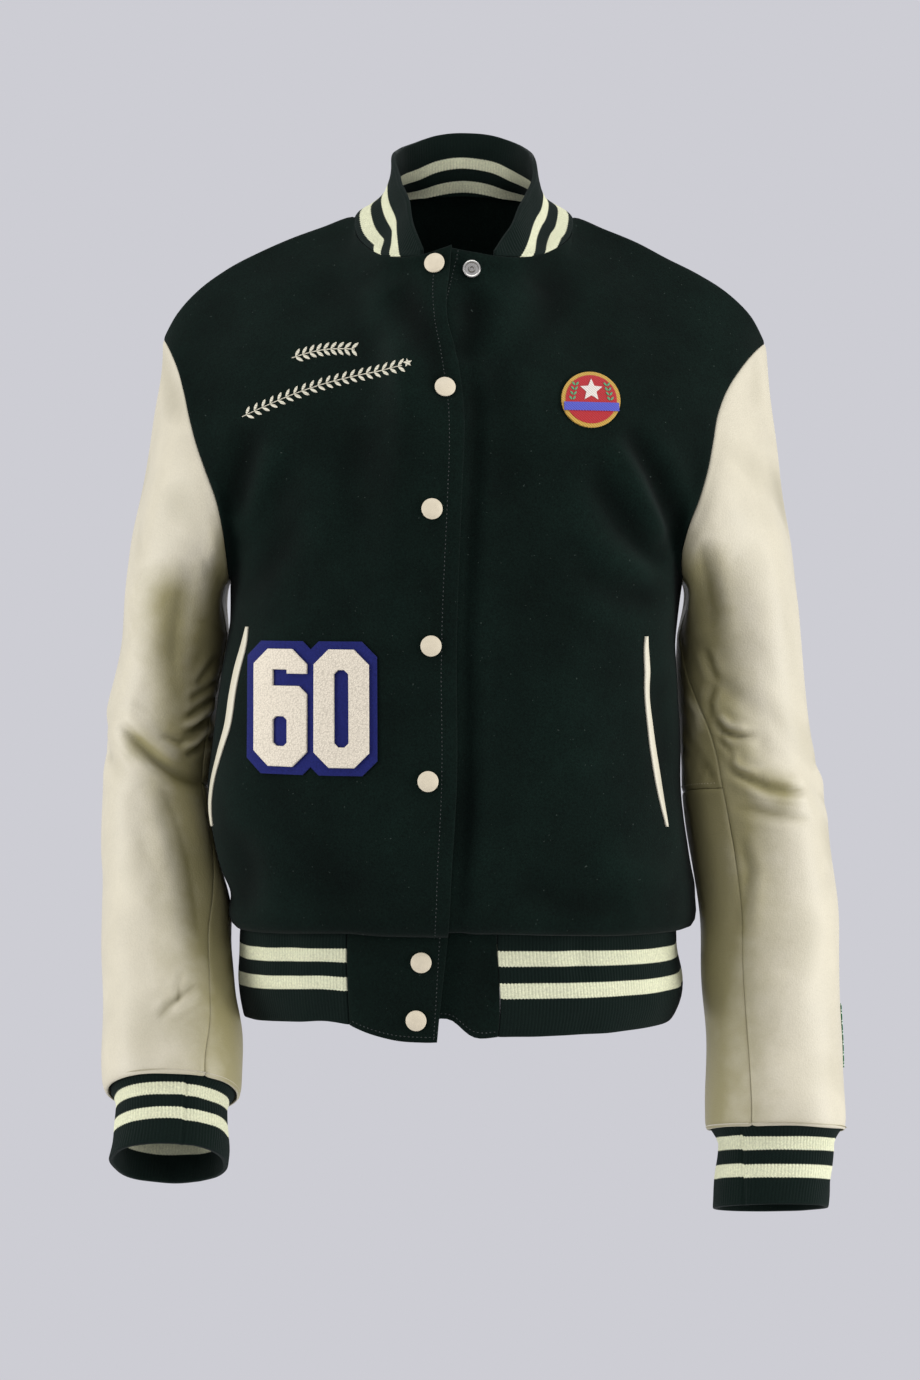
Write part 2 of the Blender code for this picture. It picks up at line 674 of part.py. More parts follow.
def collar_grid():
    """The stand collar, columns from its right front end round the back to its left one."""
    base = join(
        curve(NECKLINE["right"], NECK_COLUMNS - 1),
        curve(NECKLINE["back_right"], NECK_COLUMNS),
        curve(NECKLINE["back_left"], NECK_COLUMNS),
        curve(NECKLINE["left"], NECK_COLUMNS - 1),
    )
    edge_points = np.stack([COLLAR_EDGE["x"], COLLAR_EDGE["y"], COLLAR_EDGE["z"]], axis=1)
    edge = curve(edge_points, len(base) - 1)
    rows = []
    for row in range(COLLAR_ROWS + 1):
        share = row / COLLAR_ROWS
        points = base * (1 - share) + edge * share
        height = np.linalg.norm(edge - base, axis=1)[:, None] / COLLAR_HEIGHT
        outward = points * (1, 1, 0) - (0.003, -0.012, 0)
        outward = outward / np.linalg.norm(outward, axis=1)[:, None]
        sideways = np.clip(np.abs(outward[:, :1]), 0.35, 1)
        hollow = COLLAR_HOLLOW * math.sin(math.pi * share**COLLAR_HOLLOW_BIAS) * sideways * np.minimum(height, 1)
        rows.append(points - outward * hollow)
    return np.stack(rows[::-1])


# ---- sleeves -----------------------------------------------------------------------------


def armhole_ring(side, around):
    """Points of an armhole at shares of the way round, 0 at the shoulder and 0.5 underarm."""
    front = curve(ARMHOLE[side + "_front"], ARMHOLE_ROWS)[::-1]
    back = curve(ARMHOLE[side + "_back"], ARMHOLE_ROWS)
    ring = join(front, back)
    nodes = np.linspace(0, 1, len(ring))
    return np.stack([np.interp(around, nodes, ring[:, axis]) for axis in range(3)], axis=1)


def sleeve_ring(rings, side, station, around):
    """Points of a ring below the armhole at shares of the way round."""
    ring = {name: float(read(rings, name, station)[0]) for name in rings if name != "station"}
    turns = np.linspace(0, 2 * math.pi, 361)
    power = 2 / ring["square"]
    half = (ring["outer"] - ring["inner"]) / 2
    out = np.sign(np.cos(turns)) * np.abs(np.cos(turns)) ** power * half
    back = -np.sign(np.sin(turns)) * np.abs(np.sin(turns)) ** power * ring["half_depth"]
    lean = math.radians(ring["lean"])
    x = (ring["outer"] + ring["inner"]) / 2 + out
    y = ring["y"] + back * math.cos(lean)
    z = ring["z"] - back * math.sin(lean)
    points = np.stack([x if side == "left" else -x, y, z], axis=1)
    front_half = spaced(points[:181], np.linspace(0, 1, 181))
    back_half = spaced(points[180:], np.linspace(0, 1, 181))
    even = join(front_half, back_half)
    nodes = np.linspace(0, 1, len(even))
    return np.stack([np.interp(around, nodes, even[:, axis]) for axis in range(3)], axis=1)


def cap_directions(side, around):
    """Unit directions in which the sleeve leaves the armhole."""
    quarter = np.asarray(around) * 4
    cell = np.floor(quarter).astype(int)
    share = (quarter - cell)[:, None]
    mix = np.sin(share * math.pi / 2) ** 2
    directions = CAP_DIRECTION[cell % 4] * (1 - mix) + CAP_DIRECTION[(cell + 1) % 4] * mix
    if side == "right":
        directions = directions * (-1, 1, 1)
    return directions / np.linalg.norm(directions, axis=1)[:, None]


def shares_between(front_seam, back_seam, piece):
    """Shares of the way round for the columns of the top sleeve or the undersleeve."""
    if piece == "top":
        return (back_seam + (1 + front_seam - back_seam) * np.linspace(0, 1, TOP_SLEEVE_COLUMNS + 1)) % 1.0
    return front_seam + (back_seam - front_seam) * np.linspace(0, 1, UNDER_SLEEVE_COLUMNS + 1)


def sleeve_grid(side, piece):
    """Base points of the top sleeve or the whole undersleeve, rows from the armhole down."""
    rings = SLEEVE[side]
    start_shares = shares_between(ARMHOLE_FRONT_SEAM, ARMHOLE_BACK_SEAM, piece)
    seams = [float(read(rings, name, BICEP_STATION)[0]) for name in ("front_seam", "back_seam")]
    bicep_shares = shares_between(seams[0], seams[1], piece)
    start = armhole_ring(side, start_shares)
    end = sleeve_ring(rings, side, BICEP_STATION, bicep_shares)
    chord = np.linalg.norm(end - start, axis=1)[:, None]
    leave = cap_directions(side, start_shares) * chord
    arrive = np.array([(0.0, 0.0, -1.0)]) * chord
    rows = []
    for row in range(CAP_ROWS):
        share = row / CAP_ROWS
        point = (1 + 2 * share) * (1 - share) ** 2 * start + share * (1 - share) ** 2 * leave
        rows.append(point + share**2 * (3 - 2 * share) * end + share**2 * (share - 1) * arrive)
    stations = np.concatenate([np.linspace(0, 9, SLEEVE_ROWS - 2), [9.5, 9.8, SLEEVE_END]])
    for station in stations:
        seams = [float(read(rings, name, station)[0]) for name in ("front_seam", "back_seam")]
        rows.append(sleeve_ring(rings, side, station, shares_between(seams[0], seams[1], piece)))
    return np.stack(rows)


def elbow_row():
    """The row of a sleeve grid nearest the undersleeve's elbow seam."""
    stations = np.linspace(0, 9, SLEEVE_ROWS - 2)
    return CAP_ROWS + int(np.argmin(np.abs(stations - ELBOW_STATION)))


def cuff_grid(side):
    """A closed cuff, whose columns are those of both pieces of the sleeve."""
    seams = [float(read(SLEEVE[side], name, SLEEVE_END)[0]) for name in ("front_seam", "back_seam")]
    top = shares_between(seams[0], seams[1], "top")
    under = shares_between(seams[0], seams[1], "under")
    around = np.concatenate([top, under[1:]])
    stations = np.linspace(0, CUFF[side]["station"][-1], CUFF_ROWS + 1)
    return np.stack([sleeve_ring(CUFF[side], side, station, around) for station in stations])


# ---- folds -------------------------------------------------------------------------------


def soft(distance, half_width):
    return np.exp(-((distance / half_width) ** 2))


def along_segment(u, v, start, end):
    """Distance of points from a segment, and how far along it they are from 0 to 1."""
    du, dv = end[0] - start[0], end[1] - start[1]
    share = np.clip(((u - start[0]) * du + (v - start[1]) * dv) / (du * du + dv * dv), 0, 1)
    return np.hypot(u - start[0] - share * du, v - start[1] - share * dv), share


def body_folds(points):
    """How far each point of a front is pushed out by the folds."""
    push = np.zeros(points.shape[:-1])
    columns = zip(*BODY_FOLDS.values())
    for x0, z0, x1, z1, depth, half_width in columns:
        distance, share = along_segment(points[..., 0], points[..., 2], (x0, z0), (x1, z1))
        push += depth * soft(distance, half_width) * (1 - 0.4 * share)
    return push


ARM_GIRTH = 0.37


def sleeve_folds(side, points, around):
    """How far each point of a sleeve is pushed out by the folds."""
    push = np.zeros(points.shape[:-1])
    for start, z0, end, z1, depth, half_width in zip(*SLEEVE_FOLDS[side].values()):
        wrapped = (around - start + 0.5) % 1.0 - 0.5
        reach = ((end - start + 0.5) % 1.0 - 0.5) * ARM_GIRTH
        distance, share = along_segment(wrapped * ARM_GIRTH, points[..., 2], (0.0, z0), (reach, z1))
        push += depth * soft(distance, half_width) * (1 - 0.4 * share)
    return push


def lap(points):
    """How far the right front stands off over the left front's hidden edge."""
    under = np.interp(points[..., 2], CLOSURE["z"], CLOSURE["left_edge"])
    past = np.clip((under - LAP_HOLD - points[..., 0]) / LAP_EASE, 0, 1)
    return LAP_LIFT * (1 - past * past * (3 - 2 * past))


def tuck(points):
    """How far the left front sits in, under the right front and just beyond its edge."""
    over = np.interp(points[..., 2], CLOSURE["z"], CLOSURE["right_edge"])
    past = np.clip((points[..., 0] - over - TUCK_REACH / 2) / TUCK_REACH, 0, 1)
    return LAP_TUCK * (1 - past * past * (3 - 2 * past))


# ---- walls -------------------------------------------------------------------------------


def cell_normals(grid, flip):
    """Unit normals at the points of a grid, weighted by the area of the cells around each."""
    across = np.zeros_like(grid)
    along = np.zeros_like(grid)
    across[:, 1:-1] = grid[:, 2:] - grid[:, :-2]
    across[:, 0] = grid[:, 1] - grid[:, 0]
    across[:, -1] = grid[:, -1] - grid[:, -2]
    along[1:-1] = grid[2:] - grid[:-2]
    along[0] = grid[1] - grid[0]
    along[-1] = grid[-1] - grid[-2]
    normal = np.cross(across, along) * (-1 if flip else 1)
    size = np.linalg.norm(normal, axis=2, keepdims=True)
    return normal / np.maximum(size, 1e-12)


def key_of(point):
    return tuple(int(round(value * 2e4)) for value in point)


# Pieces of one group carry on each other's surface; at a seam between groups the surface turns.
GROUP_OF = {
    "front": "body",
    "back": "body",
    "hem": "hem",
    "collar": "collar",
    "sleeve": "sleeve",
    "cuff": "cuff",
}


def share_normals(pieces):
    """Gives the pieces that meet at a point one direction there, so that their edges part evenly."""
    total = {}
    for piece in pieces:
        piece["own"] = cell_normals(piece["grid"], piece["flip"])
        for point, normal in zip(piece["grid"].reshape(-1, 3), piece["own"].reshape(-1, 3)):
            groups = total.setdefault(key_of(point), {})
            groups.setdefault(GROUP_OF[piece["name"].split("_")[0]], []).append(normal)
    direction = {
        key: np.mean([np.mean(each, axis=0) for each in groups.values()], axis=0)
        for key, groups in total.items()
    }
    for piece in pieces:
        flat = [direction[key_of(point)] for point in piece["grid"].reshape(-1, 3)]
        shared = np.array(flat).reshape(piece["grid"].shape)
        shared = shared / np.linalg.norm(shared, axis=2, keepdims=True)
        leaning = np.sum(shared * piece["own"], axis=2, keepdims=True)
        piece["normal"] = shared / np.clip(leaning, 0.7, 1.0)
        if piece["name"].endswith("under_upper"):
            first = piece["normal"][0]
            met = np.arange(0, len(first), ARMHOLE_SPLIT)
            for axis in range(3):
                first[:, axis] = np.interp(np.arange(len(first)), met, first[met, axis])


def square_on(line, inner, closed):
    """Unit directions from an edge line toward the next line inside it, square to the edge."""
    if closed:
        run = np.roll(line[:-1], -1, axis=0) - np.roll(line[:-1], 1, axis=0)
        run = np.concatenate([run, run[:1]])
    else:
        run = np.gradient(line, axis=0)
    run /= np.maximum(np.linalg.norm(run, axis=1, keepdims=True), 1e-12)
    toward = inner - line
    toward = toward - run * np.sum(toward * run, axis=1, keepdims=True)
    return toward / np.maximum(np.linalg.norm(toward, axis=1, keepdims=True), 1e-12)


def inset(grid, closed):
    """Draws a wall's edges back by half the gap of a seam."""
    result = grid.copy()
    half = SEAM_GAP / 2
    for edge, inner in ((0, 1), (-1, -2)):
        result[edge] += square_on(grid[edge], grid[inner], closed) * half
        if not closed:
            result[:, edge] += square_on(grid[:, edge], grid[:, inner], False) * half
    return result


def edge_faces(a, b, layer, keys):
    """Two triangles of a wall's edge from a to b, split the same way on both sides of a seam."""
    if keys[a] < keys[b]:
        return [(a, b, layer + b), (a, layer + b, layer + a)]
    return [(a, b, layer + a), (b, layer + b, layer + a)]


def wall_mesh(name, base, outer, inner, closed, flip):
    """A closed wall between an outer and an inner grid of points."""
    rows, columns = outer.shape[:2]
    if closed:
        base, outer, inner = base[:, :-1], outer[:, :-1], inner[:, :-1]
        columns -= 1
    flat = outer.reshape(-1, 3)
    points = np.concatenate([flat, inner.reshape(-1, 3)])
    keys = [key_of(point) for point in base.reshape(-1, 3)]
    layer = rows * columns
    spans = columns if closed else columns - 1
    faces = []
    for row in range(rows - 1):
        for column in range(spans):
            a = row * columns + column
            b = row * columns + (column + 1) % columns
            c, d = b + columns, a + columns
            if np.linalg.norm(flat[a] - flat[c]) < np.linalg.norm(flat[b] - flat[d]):
                halves = [(a, b, c), (a, c, d)]
            else:
                halves = [(a, b, d), (b, c, d)]
            faces += halves
            faces += [tuple(layer + corner for corner in reversed(half)) for half in halves]
    last = (rows - 1) * columns
    for column in range(spans):
        a, b = column, (column + 1) % columns
        faces += edge_faces(b, a, layer, keys)
        faces += edge_faces(a + last, b + last, layer, keys)
    if not closed:
        for row in range(rows - 1):
            a, b = row * columns, (row + 1) * columns
            faces += edge_faces(a, b, layer, keys)
            faces += edge_faces(b + columns - 1, a + columns - 1, layer, keys)
    if flip:
        faces = [face[::-1] for face in faces]
    mesh = bpy.data.meshes.new(name)
    mesh.from_pydata(points.tolist(), [], faces)
    return mesh


def material(name):
    """The Principled material of one kind of cloth or fitting."""
    if name in bpy.data.materials:
        return bpy.data.materials[name]
    colour, roughness, metallic = COLOURS[name]
    made = bpy.data.materials.new(name)
    made.use_nodes = True
    shader = made.node_tree.nodes["Principled BSDF"]
    shader.inputs["Base Color"].default_value = (*colour, 1.0)
    shader.inputs["Roughness"].default_value = roughness
    shader.inputs["Metallic"].default_value = metallic
    made.diffuse_color = (*colour, 1.0)
    return made


def place(name, mesh, finish, smooth=True):
    """Puts a mesh into the jacket's collection as a named object."""
    if smooth:
        mesh.shade_smooth()
        mesh.set_sharp_from_angle(angle=math.radians(40))
    mesh.materials.append(material(finish))
    made = bpy.data.objects.new(name, mesh)
    bpy.data.collections["Bomber jacket"].objects.link(made)
    return made


def build_wall(piece):
    """Makes one cloth piece from its base grid, lift, thickness and folds."""
    push = piece["push"][..., None] if piece["push"] is not None else 0.0
    outer = piece["grid"] + piece["normal"] * (piece["lift"] + push)
    inner = piece["grid"] + piece["normal"] * (piece["lift"] + push - piece["thick"])
    outer, inner = inset(outer, piece["closed"]), inset(inner, piece["closed"])
    if piece["name"].endswith("under_upper"):
        for layer in (outer, inner):
            layer[0] += square_on(layer[0], layer[1], False) * UNDERARM_EXTRA_GAP
    if piece["name"] == "collar_rib":
        for layer in (outer, inner):
            layer[-1] += square_on(layer[-1], layer[-2], False) * COLLAR_EXTRA_GAP
    mesh = wall_mesh(piece["name"], piece["grid"], outer, inner, piece["closed"], piece["flip"])
    return place(piece["name"], mesh, piece["finish"])


def piece_of(name, grid, finish, flip, push=None, closed=False):
    lift, thick = {
        "wool": (WOOL_LIFT, WOOL_THICK),
        "leather": (LEATHER_LIFT, LEATHER_THICK),
        "rib": (RIB_LIFT, RIB_THICK),
    }[finish]
    piece = dict(name=name, grid=grid, finish=finish, flip=flip, push=push, closed=closed)
    return piece | dict(lift=lift, thick=thick)


def grid_tree(grid):
    """A search tree of a base grid's surface."""
    rows, columns = grid.shape[:2]
    faces = []
    for row in range(rows - 1):
        for column in range(columns - 1):
            a = row * columns + column
            faces += [(a, a + 1, a + columns), (a + 1, a + columns + 1, a + columns)]
    return BVHTree.FromPolygons([Vector(point) for point in grid.reshape(-1, 3)], faces)


def lay_over(right, left):
    """Draws the right front onto the left front's surface where it laps over it."""
    right_tree, left_tree = grid_tree(right), grid_tree(left)
    laid = right.copy()
    for row in range(1, len(right) - 1):
        for column in range(right.shape[1]):
            x, y, z = right[row, column]
            under = float(np.interp(z, CLOSURE["z"], CLOSURE["left_edge"])) + LAP_MARGIN
            past = min(max((under - LAP_HOLD - x) / LAP_EASE, 0.0), 1.0)
            on_left = left_tree.ray_cast(Vector((max(x, under), -1.0, z)), Vector((0, 1, 0)))[0]
            on_right = right_tree.ray_cast(Vector((max(x, under) - LAP_MARGIN, -1.0, z)), Vector((0, 1, 0)))[0]
            if on_left is None or on_right is None or past == 1.0:
                continue
            laid[row, column, 1] += (on_left.y - on_right.y) * (1 - past * past * (3 - 2 * past))
    return laid


def body_pieces():
    front_right, front_left, back = front_grid("right"), front_grid("left"), back_grid()
    front_right = lay_over(front_right, front_left)
    tab_right, tab_left, hem = hem_grids(front_right, front_left, back)
    return [
        piece_of("front_right", front_right, "wool", False, body_folds(front_right) + lap(front_right)),
        piece_of("front_left", front_left, "wool", True, body_folds(front_left) - tuck(front_left)),
        piece_of("back", back, "wool", False),
        piece_of("hem_tab_right", tab_right, "wool", False, lap(tab_right)),
        piece_of("hem_tab_left", tab_left, "wool", False, -tuck(tab_left)),
        piece_of("hem_rib", hem, "rib", False),
        piece_of("collar_rib", collar_grid(), "rib", False),
    ]


def sleeve_pieces(side):
    pieces = []
    elbow = elbow_row()
    flip = side == "right"
    for part, first, last in (("top", 0, None), ("under_upper", 0, elbow + 1), ("under_lower", elbow, None)):
        kind = "top" if part == "top" else "under"
        grid = sleeve_grid(side, kind)[first:last]
        seams = [read(SLEEVE[side], name, BICEP_STATION)[0] for name in ("front_seam", "back_seam")]
        around = np.broadcast_to(shares_between(seams[0], seams[1], kind), grid.shape[:2])
        push = sleeve_folds(side, grid, around)
        pieces.append(piece_of(f"sleeve_{side}_{part}", grid, "leather", flip, push))
    pieces.append(piece_of(f"cuff_{side}", cuff_grid(side), "rib", flip, closed=True))
    return pieces


# ---- what lies on the panels --------------------------------------------------------------


def tree_of(obj):
    """A search tree of an object's surface."""
    points = [vert.co.copy() for vert in obj.data.vertices]
    return BVHTree.FromPolygons(points, [tuple(face.vertices) for face in obj.data.polygons])


def front_point(tree, x, z):
    """The outer surface straight ahead of (x, z), and its normal."""
    point, normal, _, _ = tree.ray_cast(Vector((x, -1.0, z)), Vector((0, 1, 0)))
    if normal.y > 0:
        normal = -normal
    return point, normal


def mean_normal(tree, x, z, reach):
    """The panel's normal over a small disc round (x, z)."""
    spots = [(x + reach * math.cos(t), z + reach * math.sin(t)) for t in np.linspace(0, 2 * math.pi, 9)[:-1]]
    total = Vector((0, 0, 0))
    middle = front_point(tree, x, z)[0]
    for spot in spots:
        point, normal = front_point(tree, *spot)
        if (point - middle).length < 2 * reach:
            total += normal
    return total.normalized()


def turned(name, profile, steps, finish, location, normal):
    """A turned piece from its profile, with its axis along the normal."""
    mesh = bpy.data.meshes.new(name)
    edges = [(i, i + 1) for i in range(len(profile) - 1)]
    mesh.from_pydata([(radius, 0, height) for radius, height in profile], edges, [])
    made = place(name, mesh, finish, smooth=False)
    screw = made.modifiers.new("Turn", "SCREW")
    screw.steps = screw.render_steps = steps
    screw.use_merge_vertices = True
    screw.merge_threshold = 0.00001
    screw.use_smooth_shade = True
    made.rotation_mode = "QUATERNION"
    made.rotation_quaternion = normal.to_track_quat("Z", "Y")
    made.location = location
    return made


def seat(tree, x, z, radius):
    """Where a flat round base of this radius clears the panel by a seam's gap."""
    point, _ = front_point(tree, x, z)
    normal = mean_normal(tree, x, z, radius * 0.9)
    highest = 0.0
    for turn in np.linspace(0, 2 * math.pi, 25)[:-1]:
        for share in (0.35, 0.7, 1.0):
            reach = radius * share
            spot = front_point(tree, x + reach * math.cos(turn), z + reach * math.sin(turn))[0]
            if (spot - point).length < 2 * radius:
                highest = max(highest, (spot - point).dot(normal))
    return point + normal * (highest + SEAM_GAP), normal


def snap_caps(front, tab):
    r, h = CAP_RADIUS, CAP_HEIGHT
    profile = [(0, h), (0.55 * r, 0.92 * h), (0.88 * r, 0.68 * h), (r, 0.3 * h), (0.97 * r, 0), (0, 0)]
    front_tree, tab_tree = tree_of(front), tree_of(tab)
    for number, (x, z) in enumerate(zip(CAPS["x"], CAPS["z"]), 1):
        tree = tab_tree if z < -0.555 else front_tree
        location, normal = seat(tree, x, z, r)
        turned(f"snap_cap_{number}", profile, SNAP_STEPS, "cap", location, normal)


def snap_stud(front):
    """The stud on the left front that the open top snap leaves in view."""
    r = STUD_RADIUS
    profile = [
        (0, 0.0030),
        (0.24 * r, 0.0028),
        (0.34 * r, 0.0012),
        (0.62 * r, 0.0010),
        (0.72 * r, 0.0022),
        (0.92 * r, 0.0021),
        (r, 0.0010),
        (r, 0),
        (0, 0),
    ]
    location, normal = seat(tree_of(front), *STUD, r)
    turned("snap_stud", profile, SNAP_STEPS, "nickel", location, normal)


def welt(side, front):
    """A narrow leather strip that follows the front, tapering to both ends."""
    tree = tree_of(front)
    columns = WELT[side]
    heights = np.linspace(columns["z"][0], columns["z"][-1], WELT_ROWS + 1)
    down = -columns["z"]
    outer, inner = [], []
    for z in heights:
        angle = math.radians(spline(down, columns["angle"], -z)[0])
        half = spline(down, columns["width"], -z)[0] / 2
        toward = Vector((-math.sin(angle), math.cos(angle), 0))
        start = Vector((0, 0, z)) - toward * 0.6
        middle, _, _, _ = tree.ray_cast(start, toward)
        side_step = Vector((math.cos(angle), math.sin(angle), 0)) * 0.004
        normal = Vector((0, 0, 0))
        for step in (-1, 1):
            hit = tree.ray_cast(start + side_step * step, toward)[0]
            normal += (hit - middle).normalized() * step
        across = normal.normalized()
        normal = across.cross(Vector((0, 0, 1)))
        if normal.dot(toward) > 0:
            normal = -normal
        row_outer, row_inner = [], []
        for share in (-1, 0, 1):
            hit = tree.ray_cast(start + across * half * share, toward)[0]
            row_inner.append(hit + normal * BADGE_GAP)
            row_outer.append(hit + normal * (BADGE_GAP + WELT_THICK))
        outer.append(row_outer)
        inner.append(row_inner)
    outer, inner = np.array(outer), np.array(inner)
    mesh = wall_mesh(f"pocket_welt_{side}", inner, outer, inner, False, True)
    place(f"pocket_welt_{side}", mesh, "welt")


def octagon(width, height, corner, centre=(0.0, 0.0)):
    """A rectangle with cut corners, anticlockwise."""
    w, h, c = width / 2, height / 2, corner
    upper = [(w, h - c), (w - c, h), (c - w, h), (-w, h - c)]
    lower = [(-x, -y) for x, y in upper]
    return [(centre[0] + x, centre[1] + y) for x, y in upper + lower]


def plate(name, outlines, thick, finish, tree, origin, right, toward, gap=BADGE_GAP):
    """A flat outline of this thickness, bent onto a surface along one direction and moved out."""
    data = bpy.data.curves.new(name, "CURVE")
    data.dimensions = "2D"
    data.fill_mode = "BOTH"
    data.extrude = thick / 2
    for outline in outlines:
        line = data.splines.new("POLY")
        line.points.add(len(outline) - 1)
        for point, (x, y) in zip(line.points, outline):
            point.co = (x, y, 0, 1)
        line.use_cyclic_u = True
    guide = bpy.data.objects.new(name + "_outline", data)
    bpy.context.scene.collection.objects.link(guide)
    bpy.context.view_layer.update()
    mesh = bpy.data.meshes.new_from_object(guide.evaluated_get(bpy.context.evaluated_depsgraph_get()))
    bpy.data.objects.remove(guide)
    work = bmesh.new()
    work.from_mesh(mesh)
    bmesh.ops.remove_doubles(work, verts=work.verts, dist=0.00002)
    for axis in (0, 1):
        low = min(vert.co[axis] for vert in work.verts)
        high = max(vert.co[axis] for vert in work.verts)
        cells = max(2, round((high - low) / BADGE_CELL))
        for cut in range(1, cells):
            normal = [0.0, 0.0, 0.0]
            normal[axis] = 1.0
            where = [0.0, 0.0, 0.0]
            where[axis] = low + (high - low) * cut / cells
            everything = work.verts[:] + work.edges[:] + work.faces[:]
            bmesh.ops.bisect_plane(work, geom=everything, plane_co=where, plane_no=normal, dist=0.00002)
    bmesh.ops.triangulate(work, faces=[face for face in work.faces if len(face.verts) > 4])
    middle, normal, _, _ = tree.ray_cast(origin - toward, toward)
    if normal.dot(toward) > 0:
        normal = -normal
    up = Vector((0, 0, 1))
    for vert in work.verts:
        start = origin + right * vert.co.x + up * vert.co.y - toward
        hit = tree.ray_cast(start, toward)[0]
        vert.co = hit + normal * (vert.co.z + thick / 2 + gap)
    if right.cross(up).dot(toward) > 0:
        bmesh.ops.reverse_faces(work, faces=work.faces)
    work.to_mesh(mesh)
    work.free()
    mesh.name = name
    return place(name, mesh, finish)


def number_badge(front):
    """A felt backing with two raised chenille digits."""
    w, h = DIGIT_SIZE
    s, c = DIGIT_STROKE, DIGIT_CORNER
    centre_x, centre_z = FELT_CENTRE
    ahead, right = Vector((0, 1, 0)), Vector((1, 0, 0))
    b, half = FELT_BORDER, DIGIT_PITCH / 2
    reach_x, reach_y, dip = half + w / 2 + b, h / 2 + b, 0.006
    side = [(reach_x, reach_y - c), (reach_x - c, reach_y), (dip, reach_y), (0.0, reach_y - dip)]
    top = side + [(-x, y) for x, y in reversed(side[:-1])]
    felt = top + [(-x, -y) for x, y in top]
    tree = tree_of(front)
    origin = Vector((centre_x, 0, centre_z))
    backing = plate("number_felt", [felt], FELT_THICK, "felt", tree, origin, right, ahead, FELT_GAP)
    on_felt = tree_of(backing)
    hole = octagon(w - 2 * s, h - 2 * s, 0.003)
    nought = [octagon(w, h, c), hole[::-1]]
    bar = 0.0125
    low_hole = octagon(w - 2 * s, h / 2 - s - bar / 2, 0.0025, (0, -(h / 2 - s + bar / 2) / 2))
    inner, tip = w / 2 - s, h / 2 - s - 0.003
    six = [
        (w / 2, -h / 2 + c),
        (w / 2, bar / 2 + 0.004),
        (w / 2 - 0.006, bar / 2 + 0.010),
        (-inner, bar / 2 + 0.010),
        (-inner, h / 2 - s),
        (inner, h / 2 - s),
        (inner, tip),
        (w / 2, tip),
        (w / 2, h / 2 - c),
        (w / 2 - c, h / 2),
        (c - w / 2, h / 2),
        (-w / 2, h / 2 - c),
        (-w / 2, c - h / 2),
        (c - w / 2, -h / 2),
        (w / 2 - c, -h / 2),
    ]
    digits = ([six, low_hole[::-1]], nought)
    for number, outlines in enumerate(digits, 1):
        centre = origin + Vector(((number - 1.5) * DIGIT_PITCH, 0, 0))
        name = f"number_digit_{number}"
        plate(name, outlines, DIGIT_THICK, "chenille", on_felt, centre, right, ahead, FELT_GAP)


def oval(width, height, steps=20):
    turns = np.linspace(0, 2 * math.pi, steps + 1)[:-1]
    return [(width / 2 * math.cos(t), height / 2 * math.sin(t)) for t in turns]


def main():
    for old in list(bpy.data.objects):
        bpy.data.objects.remove(old)
    collection = bpy.data.collections.new("Bomber jacket")
    bpy.context.scene.collection.children.link(collection)
    pieces = body_pieces() + sleeve_pieces("right") + sleeve_pieces("left")
    share_normals(pieces)
    made = {piece["name"]: build_wall(piece) for piece in pieces}
    snap_caps(made["front_right"], made["hem_tab_right"])
    snap_stud(made["front_left"])
    for side in ("right", "left"):
        welt(side, made["front_" + side])
    number_badge(made["front_right"])
    chest = Vector((CHEST_CENTRE[0], 0, CHEST_CENTRE[1]))
    tree = tree_of(made["front_left"])
    across, ahead = Vector((1, 0, 0)), Vector((0, 1, 0))
    plate("chest_badge", [oval(*CHEST_SIZE)], CHEST_THICK, "badge", tree, chest, across, ahead)
    w, h = LABEL_SIZE
    outline = [(w / 2, h / 2), (-w / 2, h / 2), (-w / 2, -h / 2), (w / 2, -h / 2)]
    origin = Vector((0.3, LABEL_CENTRE[0], LABEL_CENTRE[1]))
    tree = tree_of(made["sleeve_left_top"])
    plate("sleeve_label", [outline], LABEL_THICK, "label", tree, origin, ahead, -across)


main()
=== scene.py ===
"""A cream and dark green baseball jacket: wool body, leather sleeves, striped knit ribs."""

import math
from functools import partial
from types import SimpleNamespace

import bmesh
import bpy
import numpy as np
from bpy.props import FloatProperty, FloatVectorProperty, PointerProperty
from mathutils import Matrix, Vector
from mathutils.bvhtree import BVHTree


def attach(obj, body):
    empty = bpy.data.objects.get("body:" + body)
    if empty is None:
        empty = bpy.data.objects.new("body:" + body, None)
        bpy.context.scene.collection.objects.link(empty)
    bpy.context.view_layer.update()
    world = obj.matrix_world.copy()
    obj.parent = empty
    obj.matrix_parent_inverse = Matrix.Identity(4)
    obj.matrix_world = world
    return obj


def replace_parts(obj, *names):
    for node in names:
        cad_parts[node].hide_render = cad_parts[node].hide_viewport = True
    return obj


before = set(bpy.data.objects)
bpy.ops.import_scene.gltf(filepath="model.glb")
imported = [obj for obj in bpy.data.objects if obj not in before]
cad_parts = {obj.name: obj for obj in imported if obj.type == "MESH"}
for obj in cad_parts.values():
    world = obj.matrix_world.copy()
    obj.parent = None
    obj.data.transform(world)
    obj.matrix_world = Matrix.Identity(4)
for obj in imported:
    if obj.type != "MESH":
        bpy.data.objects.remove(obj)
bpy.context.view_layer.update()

bl_info = {
    "name": "Baseball jacket",
    "version": (1, 0, 0),
    "blender": (4, 5, 0),
    "location": "View3D > Sidebar > Jacket",
    "description": "Makes a worn baseball jacket with striped knit ribs, snaps and badges",
    "category": "Add Mesh",
}

